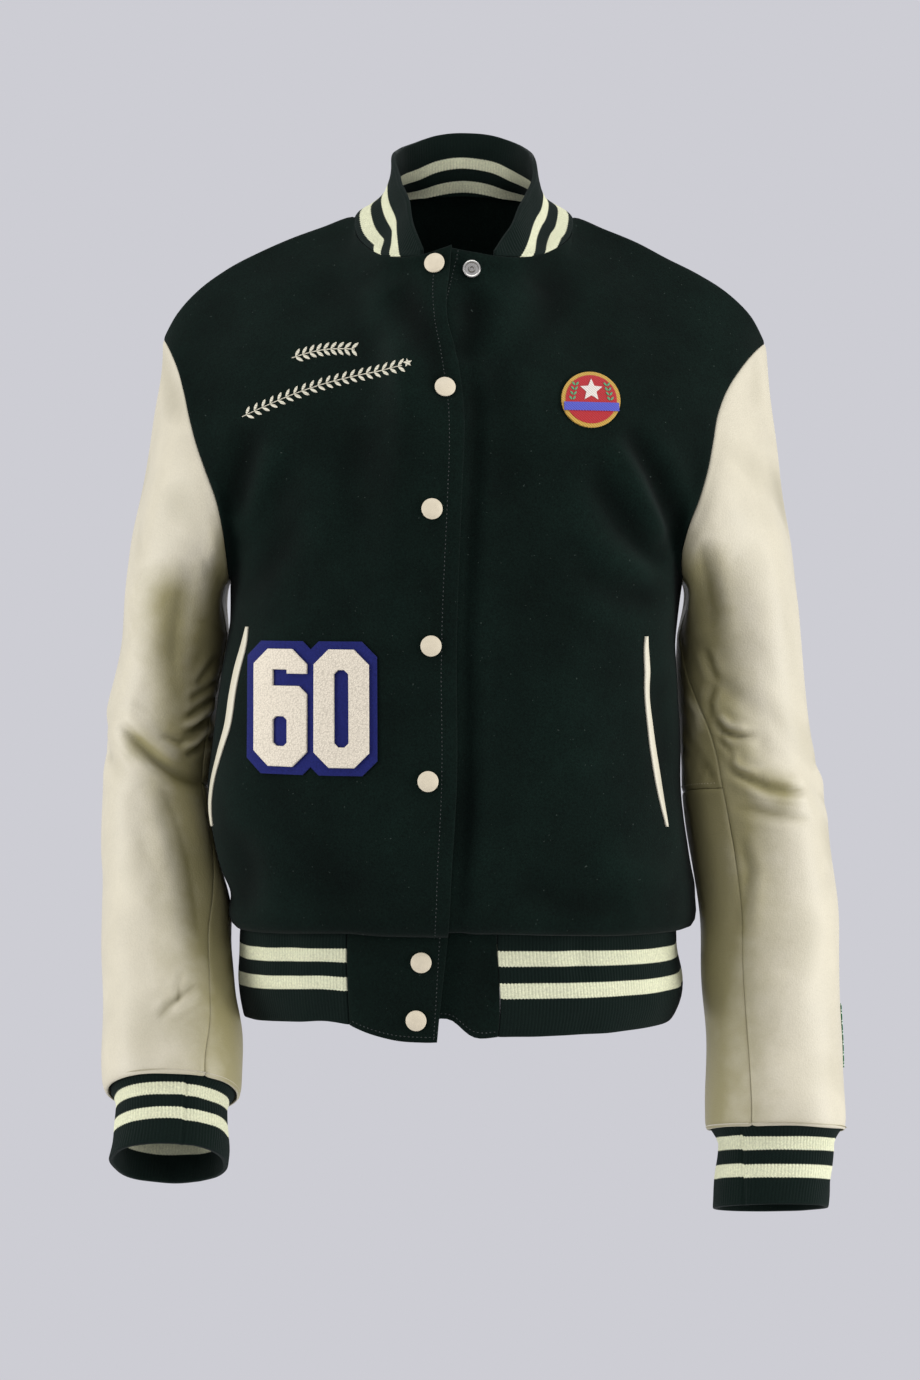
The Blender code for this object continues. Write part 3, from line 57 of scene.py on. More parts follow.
# How thick each cloth is, how far it stands off the base surface, and its cells, swells and
# how deep they are
CLOTHS = {
    "wool": SimpleNamespace(thick=0.0024, lift=0.0006, cell=0.0042, swell=0.085, swell_depth=0.0007),
    "leather": SimpleNamespace(thick=0.0015, lift=-0.0004, cell=0.0023, swell=0.060, swell_depth=0.0005),
    "rib": SimpleNamespace(thick=0.0036, lift=0.0002, cell=0.0040, swell=0.030, swell_depth=0.0004),
}
SEAM_GAP = 0.0003

# How the right front laps over the left one
LAP_LIFT = 0.0040
LAP_TUCK = 0.0023
LAP_HOLD = 0.010
LAP_EASE = 0.032
LAP_MARGIN = 0.0005
TUCK_REACH = 0.014

# Counts of grid cells
FRONT_COLUMNS = 12
TAB_COLUMNS = 4
NECK_COLUMNS = 5
ARMHOLE_ROWS = 12
BODY_ROWS = 14
HEM_ROWS = 4
COLLAR_ROWS = 4
CAP_ROWS = 7
SLEEVE_ROWS = 15
TOP_SLEEVE_COLUMNS = 22
UNDER_SLEEVE_COLUMNS = 6
ARMHOLE_SPLIT = 3
CUFF_ROWS = 4
UPPER_PASSES = 16
ARMPIT_PASSES = 5

# Counts of points on fine lines and round turned parts
CURVE_SAMPLES = 240
ARC_SAMPLES = 120
EDGE_SAMPLES = 60
HALF_RING = 181
TURNED_SIDES = 48

# Where the seams of the undersleeve leave the armhole, as a share of the way round the sleeve
ARMHOLE_FRONT_SEAM = 11 / 24
ARMHOLE_BACK_SEAM = 13 / 24

# Columns of the tables that aren't lengths: the lengths are in millimetres
NOT_LENGTHS = "station square lean front_seam back_seam angle around0 around1".split()


def table(names, text):
    """Named columns of a short table of numbers, with its lengths turned to metres."""
    names = names.split()
    columns = np.array(text.split(), float).reshape(-1, len(names)).T
    return {name: column if name in NOT_LENGTHS else column / 1000 for name, column in zip(names, columns)}


def points_of(text):
    """Points in metres from their x, y and z in millimetres."""
    return np.array(text.split(), float).reshape(-1, 3) / 1000


def drawn_lines(numbers, text):
    """Lines by the name above them, in millimetres: each row is some numbers, then the points."""
    found = {}
    for row in text.strip().splitlines():
        if row.strip().isalpha():
            rows = found[row.strip()] = []
            continue
        values = [float(value) / 1000 for value in row.split()]
        line = list(zip(values[numbers::2], values[numbers + 1 :: 2]))
        rows.append((line, *values[:numbers]))
    return found


# The closed rings of the body from the armholes down to the seam with the hem band. The side
# and front heights differ because the hem dips; right and left are the widest x of each side.
BODY = table(
    "station side_z front_z right left front back square",
    """
    0 -286 -286 -179 173.5 -149 130 2.3
    1 -331 -331 -179.5 168 -149.5 128.5 2.35
    2 -370 -370 -185.5 167.5 -147.5 127 2.4
    3 -409 -409 -190.5 169.5 -146 127.5 2.45
    4 -456 -456 -195 170.5 -146.5 130 2.45
    5 -500 -498 -186.5 176.5 -148.5 135 2.45
    6 -533 -528 -177.5 180.3 -150 139.5 2.45
    6.6 -551 -543 -175 177.5 -149 139 2.45
    7 -559.5 -551 -173.2 173 -144.5 135 2.45
    7.4 -558.5 -550 -170.2 167.5 -139.2 129 2.45
    """,
)

# The hem band's rings, from its seam down to its folded lower edge
HEM = table(
    "station side_z right_front_z left_front_z right left front back square",
    """
    0 -558.5 -550 -550 -170.2 167.5 -139.2 129 2.45
    1 -575 -565 -567 -171.2 168.5 -138.5 127 2.45
    2.5 -603 -591 -599 -171.5 172.5 -137 126.5 2.45
    3.5 -621.5 -608.5 -620 -168 167 -135 125 2.45
    """,
)

# The right hem tab reaches lower than the band beside it, most at its turned edge.
TAB_DROP = table(
    "x drop",
    """
    -83 2
    -60 10
    -45 13.5
    -10 14.5
    """,
)
TAB_SEAM_X = {"right": -0.0828, "left": 0.0272}

# Front edges of the two fronts by height, and the depth of the body behind them. The right
# front's edge shows; the left front's lies under it.
CLOSURE = table(
    "z right_edge left_edge y",
    """
    -630 -19 -47 -135
    -597 -15.2 -45.5 -137
    -548 -8.2 -43 -140
    -500 -6 -40 -148.5
    -440 -2.4 -38.5 -146.5
    -330 -2.2 -37 -149.5
    -286 -1 -36 -149
    -225 1.2 -34 -148
    -158 2.2 -28 -140
    -122 -3 -23 -128
    -92 -9.2 -18 -115
    -66 -7.4 -11.5 -102.5
    -38 -5.8 -7 -93
    """,
)

# The neck seam, from the right front's corner round the back to the left front's corner
NECKLINE = {
    "right_corner": points_of("-5.8 -93 -38  -29 -91.5 -45"),
    "right": points_of("-29 -91.5 -45  -54 -74 -43  -73 -35 -29  -81.2 -13 -16.5  -82.5 8 -1.5"),
    "back_right": points_of("-82.5 8 -1.5  -69 37 12  -45 57 19.5  3 63 22.5"),
    "back_left": points_of("3 63 22.5  50 56 18.5  71.5 35 10.5  88 3 -2.8"),
    "left": points_of("88 3 -2.8  86.2 -20 -19  76.4 -42 -31  50 -77 -44  26.2 -91.5 -45"),
    "left_corner": points_of("26.2 -91.5 -45  -7 -92 -38"),
}

# Free edge of the collar above those seam points, right front end to left front end, and how
# far and how high up the collar is hollowed below it
COLLAR_EDGE = points_of(
    """
    -29.5 -90 -40.5  -35.5 -81 -23  -40 -66 -2  -48 -38 22  -53 -6 43  -42 35 58  -21.5 57 69
    7 62.5 72.2  34.5 54 67  51.5 30 55  58.5 -6 40  57 -38 18  46 -67 -6  36.5 -82 -26
    26.8 -90 -40.5
    """
)
COLLAR_HOLLOW = 0.0130
COLLAR_HOLLOW_BIAS = 0.64
COLLAR_HOLLOW_LEAST = 0.35
COLLAR_HEIGHT = 0.060
COLLAR_CENTRE = (0.003, -0.012, 0)

# Shoulder seams, from the shoulder point in to the neck
SHOULDER = {
    "right": points_of(
        """
        -230.9 0 -97.5  -224 4 -81.6  -211 7 -66  -195 8 -50.5  -169 8 -35  -133 8 -18.5
        -82.5 8 -1.5
        """
    ),
    "left": points_of(
        """
        237.5 -1 -101  229 -7 -85  215 -11 -70  197 -12 -55.5  167 -11 -40  131 -7 -20.5  88 3 -2.8
        """
    ),
}

# Armhole seams, from the underarm up to the shoulder point
ARMHOLE = {
    "right_front": points_of(
        """
        -179 0 -286  -177 -27 -283.5  -175.5 -52 -274  -176.5 -70 -257  -179.3 -77 -237.8
        -185.4 -75 -217.4  -193.4 -70 -197.6  -200.5 -61 -178.2  -206.9 -51 -156.3  -213 -39 -132.9
        -219.5 -27 -116.2  -226.2 -14 -104  -230.9 0 -97.5
        """
    ),
    "left_front": points_of(
        """
        173.5 0 -286  170.5 -28 -283  167.2 -53 -274  167.8 -69 -258  174.5 -77 -237
        182.2 -76.5 -216.8  188.2 -70 -194.6  192.9 -61 -171.4  198 -51 -151  210 -39 -130
        227.5 -18 -109  237.5 -1 -101
        """
    ),
    "right_back": points_of(
        """
        -179 0 -286  -178 26 -284  -177.5 53 -275  -182 76 -252  -190 84 -222  -198.5 80 -188
        -208 68 -156  -218 48 -122  -226 24 -101.5  -230.9 0 -97.5
        """
    ),
    "left_back": points_of(
        """
        173.5 0 -286  172 26 -284  173 53 -275  179 76 -252  189 84 -222  199 80 -188  210 68 -156
        222 47 -123  232.5 22 -104.5  237.5 -1 -101
        """
    ),
}

CENTRE_BACK = points_of("-3 130 -286  -2 132 -220  0 129 -150  2 116 -85  3 95 -30  3 63 22.5")

# Rings of each sleeve below the armhole: z and y are the ring's centre, inner and outer its
# nearest and furthest x from the body, half_depth its half size front to back, lean the
# degrees that its front is tipped up. The seams are shares of the way round, from the outer
# side at 0 over the front at 0.25 to the inner side at 0.5.
SLEEVE = {
    "right": table(
        "station z y inner outer half_depth lean square front_seam back_seam",
        """
        0 -331 15 181.7 264 79 3 2.4 0.475 0.56
        1 -366 20 187.5 270.3 76 5 2.45 0.45 0.58
        2 -398 22 191.2 276.2 73 7 2.45 0.42 0.6
        3 -428 21 194.5 278.5 70 10 2.45 0.405 0.61
        4 -456 17 197 279.3 67 14 2.4 0.425 0.62
        5 -495 9 189.6 280 63 18 2.35 0.43 0.63
        6 -538 -6 178.8 278.5 60 22 2.3 0.385 0.64
        7 -580 -30 175.5 275.2 58 25 2.25 0.365 0.65
        8 -622 -55 166.5 271.7 57 26 2.2 0.355 0.66
        9 -655 -75 165 269 56 25 2.2 0.341 0.67
        9.5 -669.5 -80.5 166 267 54.5 26 2.2 0.341 0.67
        9.8 -672 -81.5 171.5 261 50 27 2.2 0.341 0.67
        10 -669 -80 176.5 256 45 27 2.2 0.341 0.67
        """,
    ),
    "left": table(
        "station z y inner outer half_depth lean square front_seam back_seam",
        """
        0 -331 16 170.8 265.6 79 2 2.4 0.468 0.56
        1 -366 18 170.5 269.4 76 3 2.45 0.395 0.6
        2 -396 13 171.8 273.7 73 4 2.45 0.35 0.63
        3 -427 7 173.5 278.5 70 6 2.45 0.332 0.65
        4 -458 1 174.5 285 67 7 2.4 0.328 0.66
        5 -495 -6 180.5 288.8 64 9 2.35 0.326 0.66
        6 -545 -17 185.5 293 61 10 2.3 0.326 0.66
        7 -595 -27 187.5 292.5 59 11 2.25 0.33 0.66
        8 -645 -37 189 294 58 12 2.2 0.326 0.66
        9 -688 -45 189 295 57 13 2.2 0.322 0.66
        9.5 -703 -47.5 189.5 294 56 14 2.2 0.322 0.66
        9.8 -706 -48 195 289.5 51 14 2.2 0.322 0.66
        10 -703 -47.5 199 285 46 14 2.2 0.322 0.66
        """,
    ),
}
BICEP_STATION = 0.0
ELBOW_STATION = 4.0
SLEEVE_END = 10.0
SLEEVE_STATIONS = np.concatenate([np.linspace(0, 9, SLEEVE_ROWS - 2), [9.5, 9.8, SLEEVE_END]])

# How the sleeve leaves the armhole at its top, front, underarm and back: out, back and up
CAP_DIRECTION = np.array([(0.05, 0.0, -1.0), (0.40, -0.20, -0.90), (0.60, 0.0, -0.62), (0.40, 0.20, -0.90)])

CUFF = {
    "right": table(
        "station z y inner outer half_depth lean square",
        """
        0 -669 -80 176.5 256 45 27 2.2
        1 -684.5 -90 174.5 257 45 29 2.2
        2 -702 -101 172.5 258 45 31 2.2
        3 -718 -111 172.5 260 44.5 32 2.2
        """,
    ),
    "left": table(
        "station z y inner outer half_depth lean square",
        """
        0 -703 -47.5 199 285 46 14 2.2
        1 -722 -53 197.5 285 46 15 2.2
        2 -742 -60 195 282 45.5 16 2.2
        3 -762 -66 193 279 44.5 17 2.2
        """,
    ),
}

# Large folds of the fronts: each runs between two points of the front view and is pushed in
# (negative) or out, with a soft edge of the given half width.
BODY_FOLDS = table(
    "x0 z0 x1 z1 depth half_width",
    """
    166 -262 138 -170 -3.5 14
    160 -275 118 -215 3.5 14
    150 -278 112 -235 -3 12
    150 -300 128 -345 2.5 14
    18 -120 30 -215 -2.5 14
    -165 -270 -135 -215 -3 14
    60 -500 120 -515 -2 14
    -150 -495 -90 -512 -2 14
    """,
)

# Large folds of the sleeves, by share of the way round and height, and the girth of the arm
SLEEVE_FOLDS = {
    "right": table(
        "around0 z0 around1 z1 depth half_width",
        """
        0.02 -392 0.3 -462 -5 13
        0 -375 0.16 -400 3.5 16
        0.22 -240 0.26 -420 -3 16
        0.34 -350 0.44 -400 -3 12
        0.98 -400 0.78 -455 -4 14
        0.12 -520 0.3 -560 -2 20
        """,
    ),
    "left": table(
        "around0 z0 around1 z1 depth half_width",
        """
        0.36 -372 0.16 -440 -4 13
        0.34 -410 0.12 -458 -4 12
        0.2 -230 0.26 -350 -2.5 16
        0.98 -420 0.76 -470 -4 14
        0.16 -560 0.28 -620 -2 20
        """,
    ),
}
ARM_GIRTH = 0.37
# How much shallower a fold is at its end than at its start
FOLD_FADE = 0.4
# The share of the large folds that the fine cloth keeps, under its own creases
LARGE_SHARE = 0.65

# Where pieces meet at a corner, their shared direction leans at most this far (its cosine)
LEAST_LEAN = 0.7

# Snap caps by the front view: their centres on the right front and, the lowest two, its tab
CAP_RADIUS = 0.0076
CAP_HEIGHT = 0.0026
CAPS_ON_FRONT = 5
# Turned profiles: shares of the radius, with shares of the cap's height or millimetres
CAP_PROFILE = [(0.90, 0), (1, 0.10), (1, 0.34), (0.985, 0.46), (0.95, 0.55), (0.90, 0.60)]
CAP_PROFILE += [(0.86, 0.60), (0.82, 0.66), (0.62, 0.86), (0.38, 0.96), (0.12, 1), (0.001, 1)]
STUD_PROFILE = [(0.94, 0), (1, 0.4), (1, 1.2), (0.95, 1.9), (0.86, 2.2), (0.76, 2.0), (0.70, 0.4)]
STUD_PROFILE += [(0.60, 0.3), (0.42, 0.4), (0.38, 2.2), (0.32, 2.9), (0.24, 2.9), (0.19, 2.2)]
STUD_PROFILE += [(0.17, 0.8), (0.001, 0.7)]
CAPS = table(
    "x z",
    """
    -18.6 -52
    -10.9 -146.2
    -20.2 -234.4
    -20.9 -333.2
    -23.1 -431.2
    -28.3 -564
    -32 -606.8
    """,
)
STUD = (0.0086, -0.0560)
STUD_RADIUS = 0.0068

# Pocket welts: the line down each welt by height, as a compass angle round the body from the
# centre front, the welt's width, its thickness, and the width that its strip is cut to
WELT_THICK = 0.0014
WELT_LEAST = 0.0012
WELT_GAP = 0.0002
WELT_FOOT = 0.0007
WELT_ROWS = 90
WELT_COLUMNS = 13
WELT = {
    "right": table(
        "z angle width",
        """
        -320 -63.5 3.5
        -330 -64 8
        -370 -66 10
        -395 -66.8 10
        -418 -70 10
        -440 -73 9.5
        -459 -75 8.5
        -472 -74.5 3
        """,
    ),
    "left": table(
        "z angle width",
        """
        -327 55.5 3.5
        -337 55.5 5.5
        -375 55.7 6.5
        -404 57.5 8.5
        -440 61 9
        -470 62.7 3
        """,
    ),
}

# The number badge's felt backing and its digits, with the digits' bar and cuts
FELT_CENTRE = (-0.1085, -0.3790)
FELT_THICK = 0.0012
FELT_BORDER = 0.0058
FELT_DIP = 0.006
DIGIT_THICK = 0.0022
DIGIT_SIZE = (0.0405, 0.0860)
DIGIT_PITCH = 0.0455
DIGIT_STROKE = 0.0150
DIGIT_CORNER = 0.0110
DIGIT_BAR = 0.0125
DIGIT_NOTCH = 0.010
DIGIT_CHAMFER = 0.006
DIGIT_TIP = 0.003

# The chest badge, the chest embroidery and the label on the left sleeve
CHEST_CENTRE = (0.0960, -0.1530)
CHEST_SIZE = (0.0440, 0.0420)
CHEST_RIM = 0.0028
SPRIG_CENTRE = (-0.1040, -0.1160)
LABEL_CENTRE = (-0.0300, -0.6340)
LABEL_SIZE = (0.0340, 0.0480)
LABEL_THICK = 0.0008

# Plates: how far round a point the cloth's direction is felt, and points that are one
PLATE_REACH = 0.004
SAME_PLACE = 0.00001

# Topstitching: half the thread's thickness, how deep it sinks in, and its sides
THREAD = 0.00042
THREAD_SINK = 0.0001
THREAD_SIDES = 6

# The camera: photo pixels for its focal length, and its place, with a small downward pitch
SENSOR = 36.0
PHOTO_HEIGHT = 1380
FOCAL_PIXELS = 2564.0
CAMERA_PLACE = (0.0, -2.0, -0.300)
CAMERA_PITCH = math.atan(90 / FOCAL_PIXELS)
FLOOR_HEIGHT = -1.45
FLOOR_RADIUS = 1.5
FLOOR_SIDES = 96
# The softboxes: place, size and watts
LIGHTS_AIM = Vector((0.0, 0.0, -0.35))
LIGHTS = (
    ("Left softbox", (-2.5, -0.90, -0.30), (1.2, 1.9), 48.0),
    ("Right softbox", (2.5, -0.90, -0.50), (1.2, 1.9), 61.0),
    ("Top softbox", (0.0, -0.9, 1.7), (1.8, 1.0), 17.0),
    ("Back softbox", (0.3, 2.2, 0.9), (1.6, 1.4), 22.0),
)

# Knit ribs: the band's depth, the stripes by distance from its free edge, and one rib
RIB_WIDTH = 0.065
RIB_STRIPES = ((0.0256, 0.0363), (0.0478, 0.0584))
RIB_PITCH = 0.0026
RIB_SAMPLES = 4
RIB_FADE = 0.003
INNER_RELIEF = 0.6
# The collar is knitted this deep and cut away below its stripes at the ends
COLLAR_KNIT_DEPTH = 0.052
# How much higher the stripes of the hem's rib sit, and how much lower those of the cuffs
HEM_STRIPE_RISE = 0.0014
CUFF_STRIPE_FALL = 0.0030

# The wool's bag ends above the seam of the frame's plain pieces: how far, and from which height
# down to the free edge, and where the seam lies
HEM_RISE = 0.0095
HEM_RISE_FROM = -0.495
HEM_SEAM = -0.550
HEM_FREE_EDGE = -0.616

# Wool that bags over the rib below it: how far out, how far above the seam, and its reach
BLOUSED = ("front_right", "front_left", "back")
BLOUSE = 0.0046
BLOUSE_ABOVE = 0.0130
BLOUSE_REACH = 0.0100
BLOUSE_TUCK = 0.0018

# The end of a sleeve and the top of its cuff stand out as wide as the sleeve
FLARE = 0.0085
FLARE_REACH = 0.0130
FLARE_EASE = 1.5

# The join of each cuff by the front view, its groove, and the step of its stripes there
CUFF_JOINS = {"cuff_right": -0.202, "cuff_left": 0.212}
JOIN_DEPTH = 0.0010
JOIN_REACH = 0.0014
JOIN_STEP = 0.0010

# A wall's rounded rim and the groove of a seam, which holds back the creases beside it
RIM_STOPS = (0.0, 0.0003, 0.0008, 0.0016, 0.0028)
RIM_ROUND = 0.0011
SEAM_DIP = 0.0007
SEAM_REACH = 0.0022
SEAM_HOLD = 0.8
SEAM_HOLD_REACH = 0.006

# The swells of the cloth are this many waves. A crease has a fainter rise on both flanks.
SWELL_WAVES = 14
FLANK_REACH = 1.9
FLANK_WIDTH = 0.9
FLANK_SHARE = 0.30
# The ways that creases face: the axis across, and the sign and axis of the normal that faces it
FACINGS = {"front": (0, -1, 1), "back": (0, 1, 1), "west": (1, -1, 0), "east": (1, 1, 0)}
FACED_FROM = 0.10
FACED_EASE = 0.40

# Creases worked into the cloth in wear, by the way they face: each row has how far the crease
# pushes out, its half width, and its line by distance across and height. The hidden sides have
# creases alike.
WOOL_CREASES = drawn_lines(
    2,
    """
    front
    -5 13  -48 -68 -34 -92 -19 -122 -12 -157
    2.2 12  -71 -63 -53 -92 -36 -127 -31 -171
    -4 10  13 -68 9 -97 3 -127
    2.4 14  58 -63 43 -87 23 -117
    -2.6 16  77 -38 58 -82 28 -132 11 -171
    -5.2 9  122 -171 144 -206 158 -241 165 -265
    3.6 9  107 -181 133 -221 154 -255
    -3.8 9  92 -206 122 -245 154 -273
    2.2 9  78 -241 112 -270 152 -287
    -2.8 11  78 -275 117 -295 159 -300
    -3.4 10  -155 -171 -163 -206 -169 -241
    2.2 10  -132 -186 -150 -221 -163 -255
    -2.4 11  -120 -241 -145 -275 -165 -300
    -1.6 18  -71 -171 -76 -221 -71 -275
    1.8 20  58 -354 78 -413 58 -483
    -3 12  -169 -468 -160 -502 -163 -537
    -1.2 14  -120 -483 -90 -507 -56 -517
    -3 12  38 -502 78 -522 127 -527
    2.2 12  97 -483 127 -502 161 -507
    -2.6 10  147 -354 153 -404 162 -463
    -2.2 6  1 -100 11 -160 6 -330 6 -440 1 -545
    back
    -2.8 8  165 -255 140 -215 120 -170
    2.6 9  160 -290 120 -258 85 -215
    -2.4 9  155 -315 110 -296 70 -262
    -2.8 8  -165 -255 -138 -222 -124 -180
    2.4 9  -160 -285 -125 -262 -90 -228
    -2.2 10  -158 -320 -105 -292 -60 -270
    1.4 14  -10 -100 -4 -220 -14 -330
    -1.6 12  30 -150 44 -260 36 -360
    -1.4 12  -50 -180 -62 -280 -54 -380
    -2.4 11  -140 -430 -70 -470 -10 -455
    2.2 12  -110 -480 -40 -500 40 -490
    -2.6 10  150 -440 100 -480 40 -470
    -1.8 8  140 -500 90 -510 50 -505
    """,
)
LEATHER_CREASES = {
    "right": drawn_lines(
        2,
        """
        front
        -4 5  -262 -396 -248 -409 -232 -423 -215 -435 -195 -447
        2.2 6  -259 -387 -244 -396 -229 -407 -213 -423
        -2.3 3  -229 -403 -213 -409 -199 -403
        -2.6 2.8  -185 -341 -193 -356 -200 -366
        -2.6 2.8  -183 -356 -195 -370 -206 -376
        -3.2 3  -185 -370 -196 -383 -209 -390
        -3.2 3  -187 -387 -199 -398 -213 -403
        -2.6 2.8  -189 -403 -200 -414 -210 -420
        2.2 2.8  -189 -378 -201 -391 -211 -397
        1.9 2.6  -190 -396 -203 -409 -212 -412
        -2 8  -210 -281 -214 -317 -217 -348 -213 -380
        1.6 6  -196 -266 -193 -289 -195 -317
        -2.8 9  -229 -439 -217 -466 -207 -497 -200 -529 -196 -560
        1.2 9  -237 -442 -229 -474 -221 -505
        -1.8 3.5  -194 -584 -204 -591 -217 -600 -225 -609
        1.2 3.5  -193 -591 -203 -598 -213 -604
        -1.4 2.6  -207 -578 -210 -588 -209 -598
        west
        -1 6.5  -40 -385 -20 -398 6 -398
        -0.8 6  -30 -420 0 -424 22 -412
        0.7 6  -24 -404 4 -410 26 -400
        -0.6 8  30 -300 22 -350 26 -390
        -0.5 9  -20 -500 0 -530 4 -570
        back
        -2.6 6.5  -190 -300 -215 -340 -240 -362
        -3 6  -192 -350 -216 -380 -246 -392
        2.4 6  -192 -370 -218 -400 -248 -410
        -2.6 5.5  -194 -410 -214 -424 -240 -426
        -2.2 7  -200 -450 -222 -462 -250 -450
        -1.8 8  -215 -230 -222 -280 -220 -330
        -1.6 9  -226 -520 -236 -580 -230 -640
        """,
    ),
    "left": drawn_lines(
        2,
        """
        front
        -3.2 4  202 -427 215 -435 234 -442 252 -444 266 -443
        1.6 5  207 -433 226 -447 250 -450 269 -450
        -1.8 4.5  205 -457 220 -458 240 -462 269 -466
        -2.6 3  186 -336 190 -350 194 -362
        -2.6 2.8  193 -364 189 -378 191 -391
        -3.2 3  192 -391 199 -400 211 -403 225 -402
        -2.6 2.6  194 -403 203 -414 207 -423
        2 3  196 -387 205 -396 218 -396
        2 3  198 -409 211 -427 226 -431
        -2.2 2.6  171 -387 176 -407 187 -427 196 -444
        -1.9 2.4  171 -411 179 -423 183 -439
        1.7 2.6  174 -372 182 -387 185 -403
        -1.8 5  211 -478 218 -505 214 -529 211 -549
        -2 7  179 -254 185 -281 190 -309 193 -332
        east
        -0.9 6.5  -40 -446 -12 -458 16 -452
        -0.7 6  -34 -420 -6 -430 24 -424
        0.7 6  -30 -434 0 -442 24 -438
        -0.5 8  26 -320 20 -370 26 -410
        -0.4 9  -10 -540 4 -580 0 -620
        back
        -2.6 6.5  188 -310 212 -350 240 -376
        -3 6  190 -362 216 -394 250 -404
        2.2 6  192 -384 220 -412 252 -420
        -2.4 5.5  194 -424 220 -436 248 -434
        -2.2 7  200 -466 226 -478 254 -468
        -1.6 8  218 -240 226 -290 222 -340
        -1.6 9  232 -540 244 -600 238 -660
        """,
    ),
}
RIB_CREASES = drawn_lines(
    2,
    """
    front
    -1.4 8  90 -536 86 -556 92 -576
    -1.2 8  -130 -536 -126 -560 -132 -580
    back
    -1.4 9  60 -536 56 -560 62 -580
    -1.4 9  -80 -536 -76 -560 -84 -580
    """,
)

# Painted shade on the leather where it faces the body, most about the elbow, and along these
# lines of the front view, each after its half width
SHADE_PAINT_HEIGHT = -0.44
SHADE_PAINT_REACH = 0.20
SHADE_PAINT_SPREAD = 0.35
SHADE_PAINT_LINES = drawn_lines(
    1,
    """
    right
    22  -219 -300 -216 -350 -212 -403 -204 -458 -196 -505 -192 -560
    13  -243 -409 -213 -427
    left
    25  179 -281 189 -340 198 -403 210 -450 211 -505 207 -545
    13  203 -427 244 -446
    """,
)

# Each piece's sewn edges, how it is held and what it hangs from or is sewn to. The edges are
# its first and last row, then its first and last column.
SEWN = {
    "front_right": (True, True, False, True, "hung", "collar_rib", "back"),
    "front_left": (True, True, False, True, "hung", "collar_rib", "back"),
    "back": (True, True, True, True, "hung", "collar_rib"),
    "hem_tab_right": (True, False, False, True, "hung", "front_right"),
    "hem_tab_left": (True, False, True, False, "hung", "front_left"),
    "hem_rib": (True, False, True, True, "stretched", "back"),
    "collar_rib": (False, True, False, False, "stretched", "back"),
}
for _side in ("right", "left"):
    SEWN[f"sleeve_{_side}_top"] = (True, True, True, True, "hung", "front_" + _side, "back")
    SEWN[f"sleeve_{_side}_under_upper"] = (True, True, True, True, "hung", "front_" + _side, "back")
    SEWN[f"sleeve_{_side}_under_lower"] = (True, True, True, True, "hung", f"sleeve_{_side}_under_upper")
    SEWN["cuff_" + _side] = (True, False, False, False, "stretched", f"sleeve_{_side}_top")
# The coarse pieces by their names, once they are made
JACKET = {}

ACROSS, AHEAD, UP = Vector((1, 0, 0)), Vector((0, 1, 0)), Vector((0, 0, 1))


# ---- curves ----


def smooth(share):
    """A share from 0 to 1 that starts and ends gently."""
    return share * share * (3 - 2 * share)


def unit(vectors):
    return vectors / np.maximum(np.linalg.norm(vectors, axis=-1, keepdims=True), 1e-12)


def soft(distance, half_width):
    return np.exp(-((distance / half_width) ** 2))


def squarer(value, power):
    """A sine or cosine that bulges toward the corners."""
    return np.sign(value) * np.abs(value) ** power


def spline(keys, values, wanted):
    """A smooth curve through values at rising keys, read at the wanted keys."""
    keys = np.asarray(keys, float)
    values = np.asarray(values, float)
    wanted = np.atleast_1d(np.asarray(wanted, float))
    slopes = np.gradient(values, keys, axis=0)
    cell = np.clip(np.searchsorted(keys, wanted, side="right") - 1, 0, len(keys) - 2)
    step = keys[cell + 1] - keys[cell]
    share = (wanted - keys[cell]) / step
    if values.ndim == 2:
        step = step[:, None]
        share = share[:, None]
    start = (1 + 2 * share) * (1 - share) ** 2 * values[cell]
    leave = share * (1 - share) ** 2 * step * slopes[cell]
    end = share**2 * (3 - 2 * share) * values[cell + 1]
    arrive = share**2 * (share - 1) * step * slopes[cell + 1]
    return start + leave + end + arrive


def read(columns, name, key):
    """One column of a table at a value of its first column."""
    first = next(iter(columns.values()))
    return spline(first, columns[name], key)


def lengths(points):
    """Distance along a polyline at each of its points."""
    steps = np.linalg.norm(np.diff(points, axis=0), axis=1)
    return np.concatenate([[0.0], np.cumsum(steps)])


def on_line(line, keys, wanted):
    """Points of a line at values between those that its own points have."""
    return np.stack([np.interp(wanted, keys, line[:, axis]) for axis in range(3)], axis=-1)


def spaced(line, shares):
    """Points at shares of the length along a line."""
    along = lengths(line)
    return on_line(line, along, np.asarray(shares) * along[-1])


def evenly(line, count):
    """This many points evenly along a line."""
    return spaced(line, np.linspace(0, 1, count))


def curve(few, count):
    """count + 1 points evenly along a smooth curve through a few points."""
    along = lengths(few)
    return evenly(spline(along, few, np.linspace(0, along[-1], CURVE_SAMPLES)), count + 1)


def join(*pieces):
    """One row of points from pieces that share their end points."""
    return np.concatenate([pieces[0]] + [piece[1:] for piece in pieces[1:]])


def coons(bottom, top, start, end):
    """A grid between four boundary curves: rows go from bottom to top."""
    rows = len(start)
    columns = len(bottom)
    up = np.linspace(0, 1, rows)[:, None, None]
    across = np.linspace(0, 1, columns)[None, :, None]
    ruled_up = (1 - up) * bottom[None] + up * top[None]
    ruled_across = (1 - across) * start[:, None] + across * end[:, None]
    corners = (1 - up) * ((1 - across) * bottom[0] + across * bottom[-1])
    corners = corners + up * ((1 - across) * top[0] + across * top[-1])
    return ruled_up + ruled_across - corners


def relax(grid, rows, passes):
    """Evens out the inner points of some rows of a grid."""
    for _ in range(passes):
        middle = grid[1:-1, 1:-1]
        around = (grid[:-2, 1:-1] + grid[2:, 1:-1] + grid[1:-1, :-2] + grid[1:-1, 2:]) / 4
        chosen = [row - 1 for row in rows]
        middle[chosen] = middle[chosen] * 0.5 + around[chosen] * 0.5
    return grid


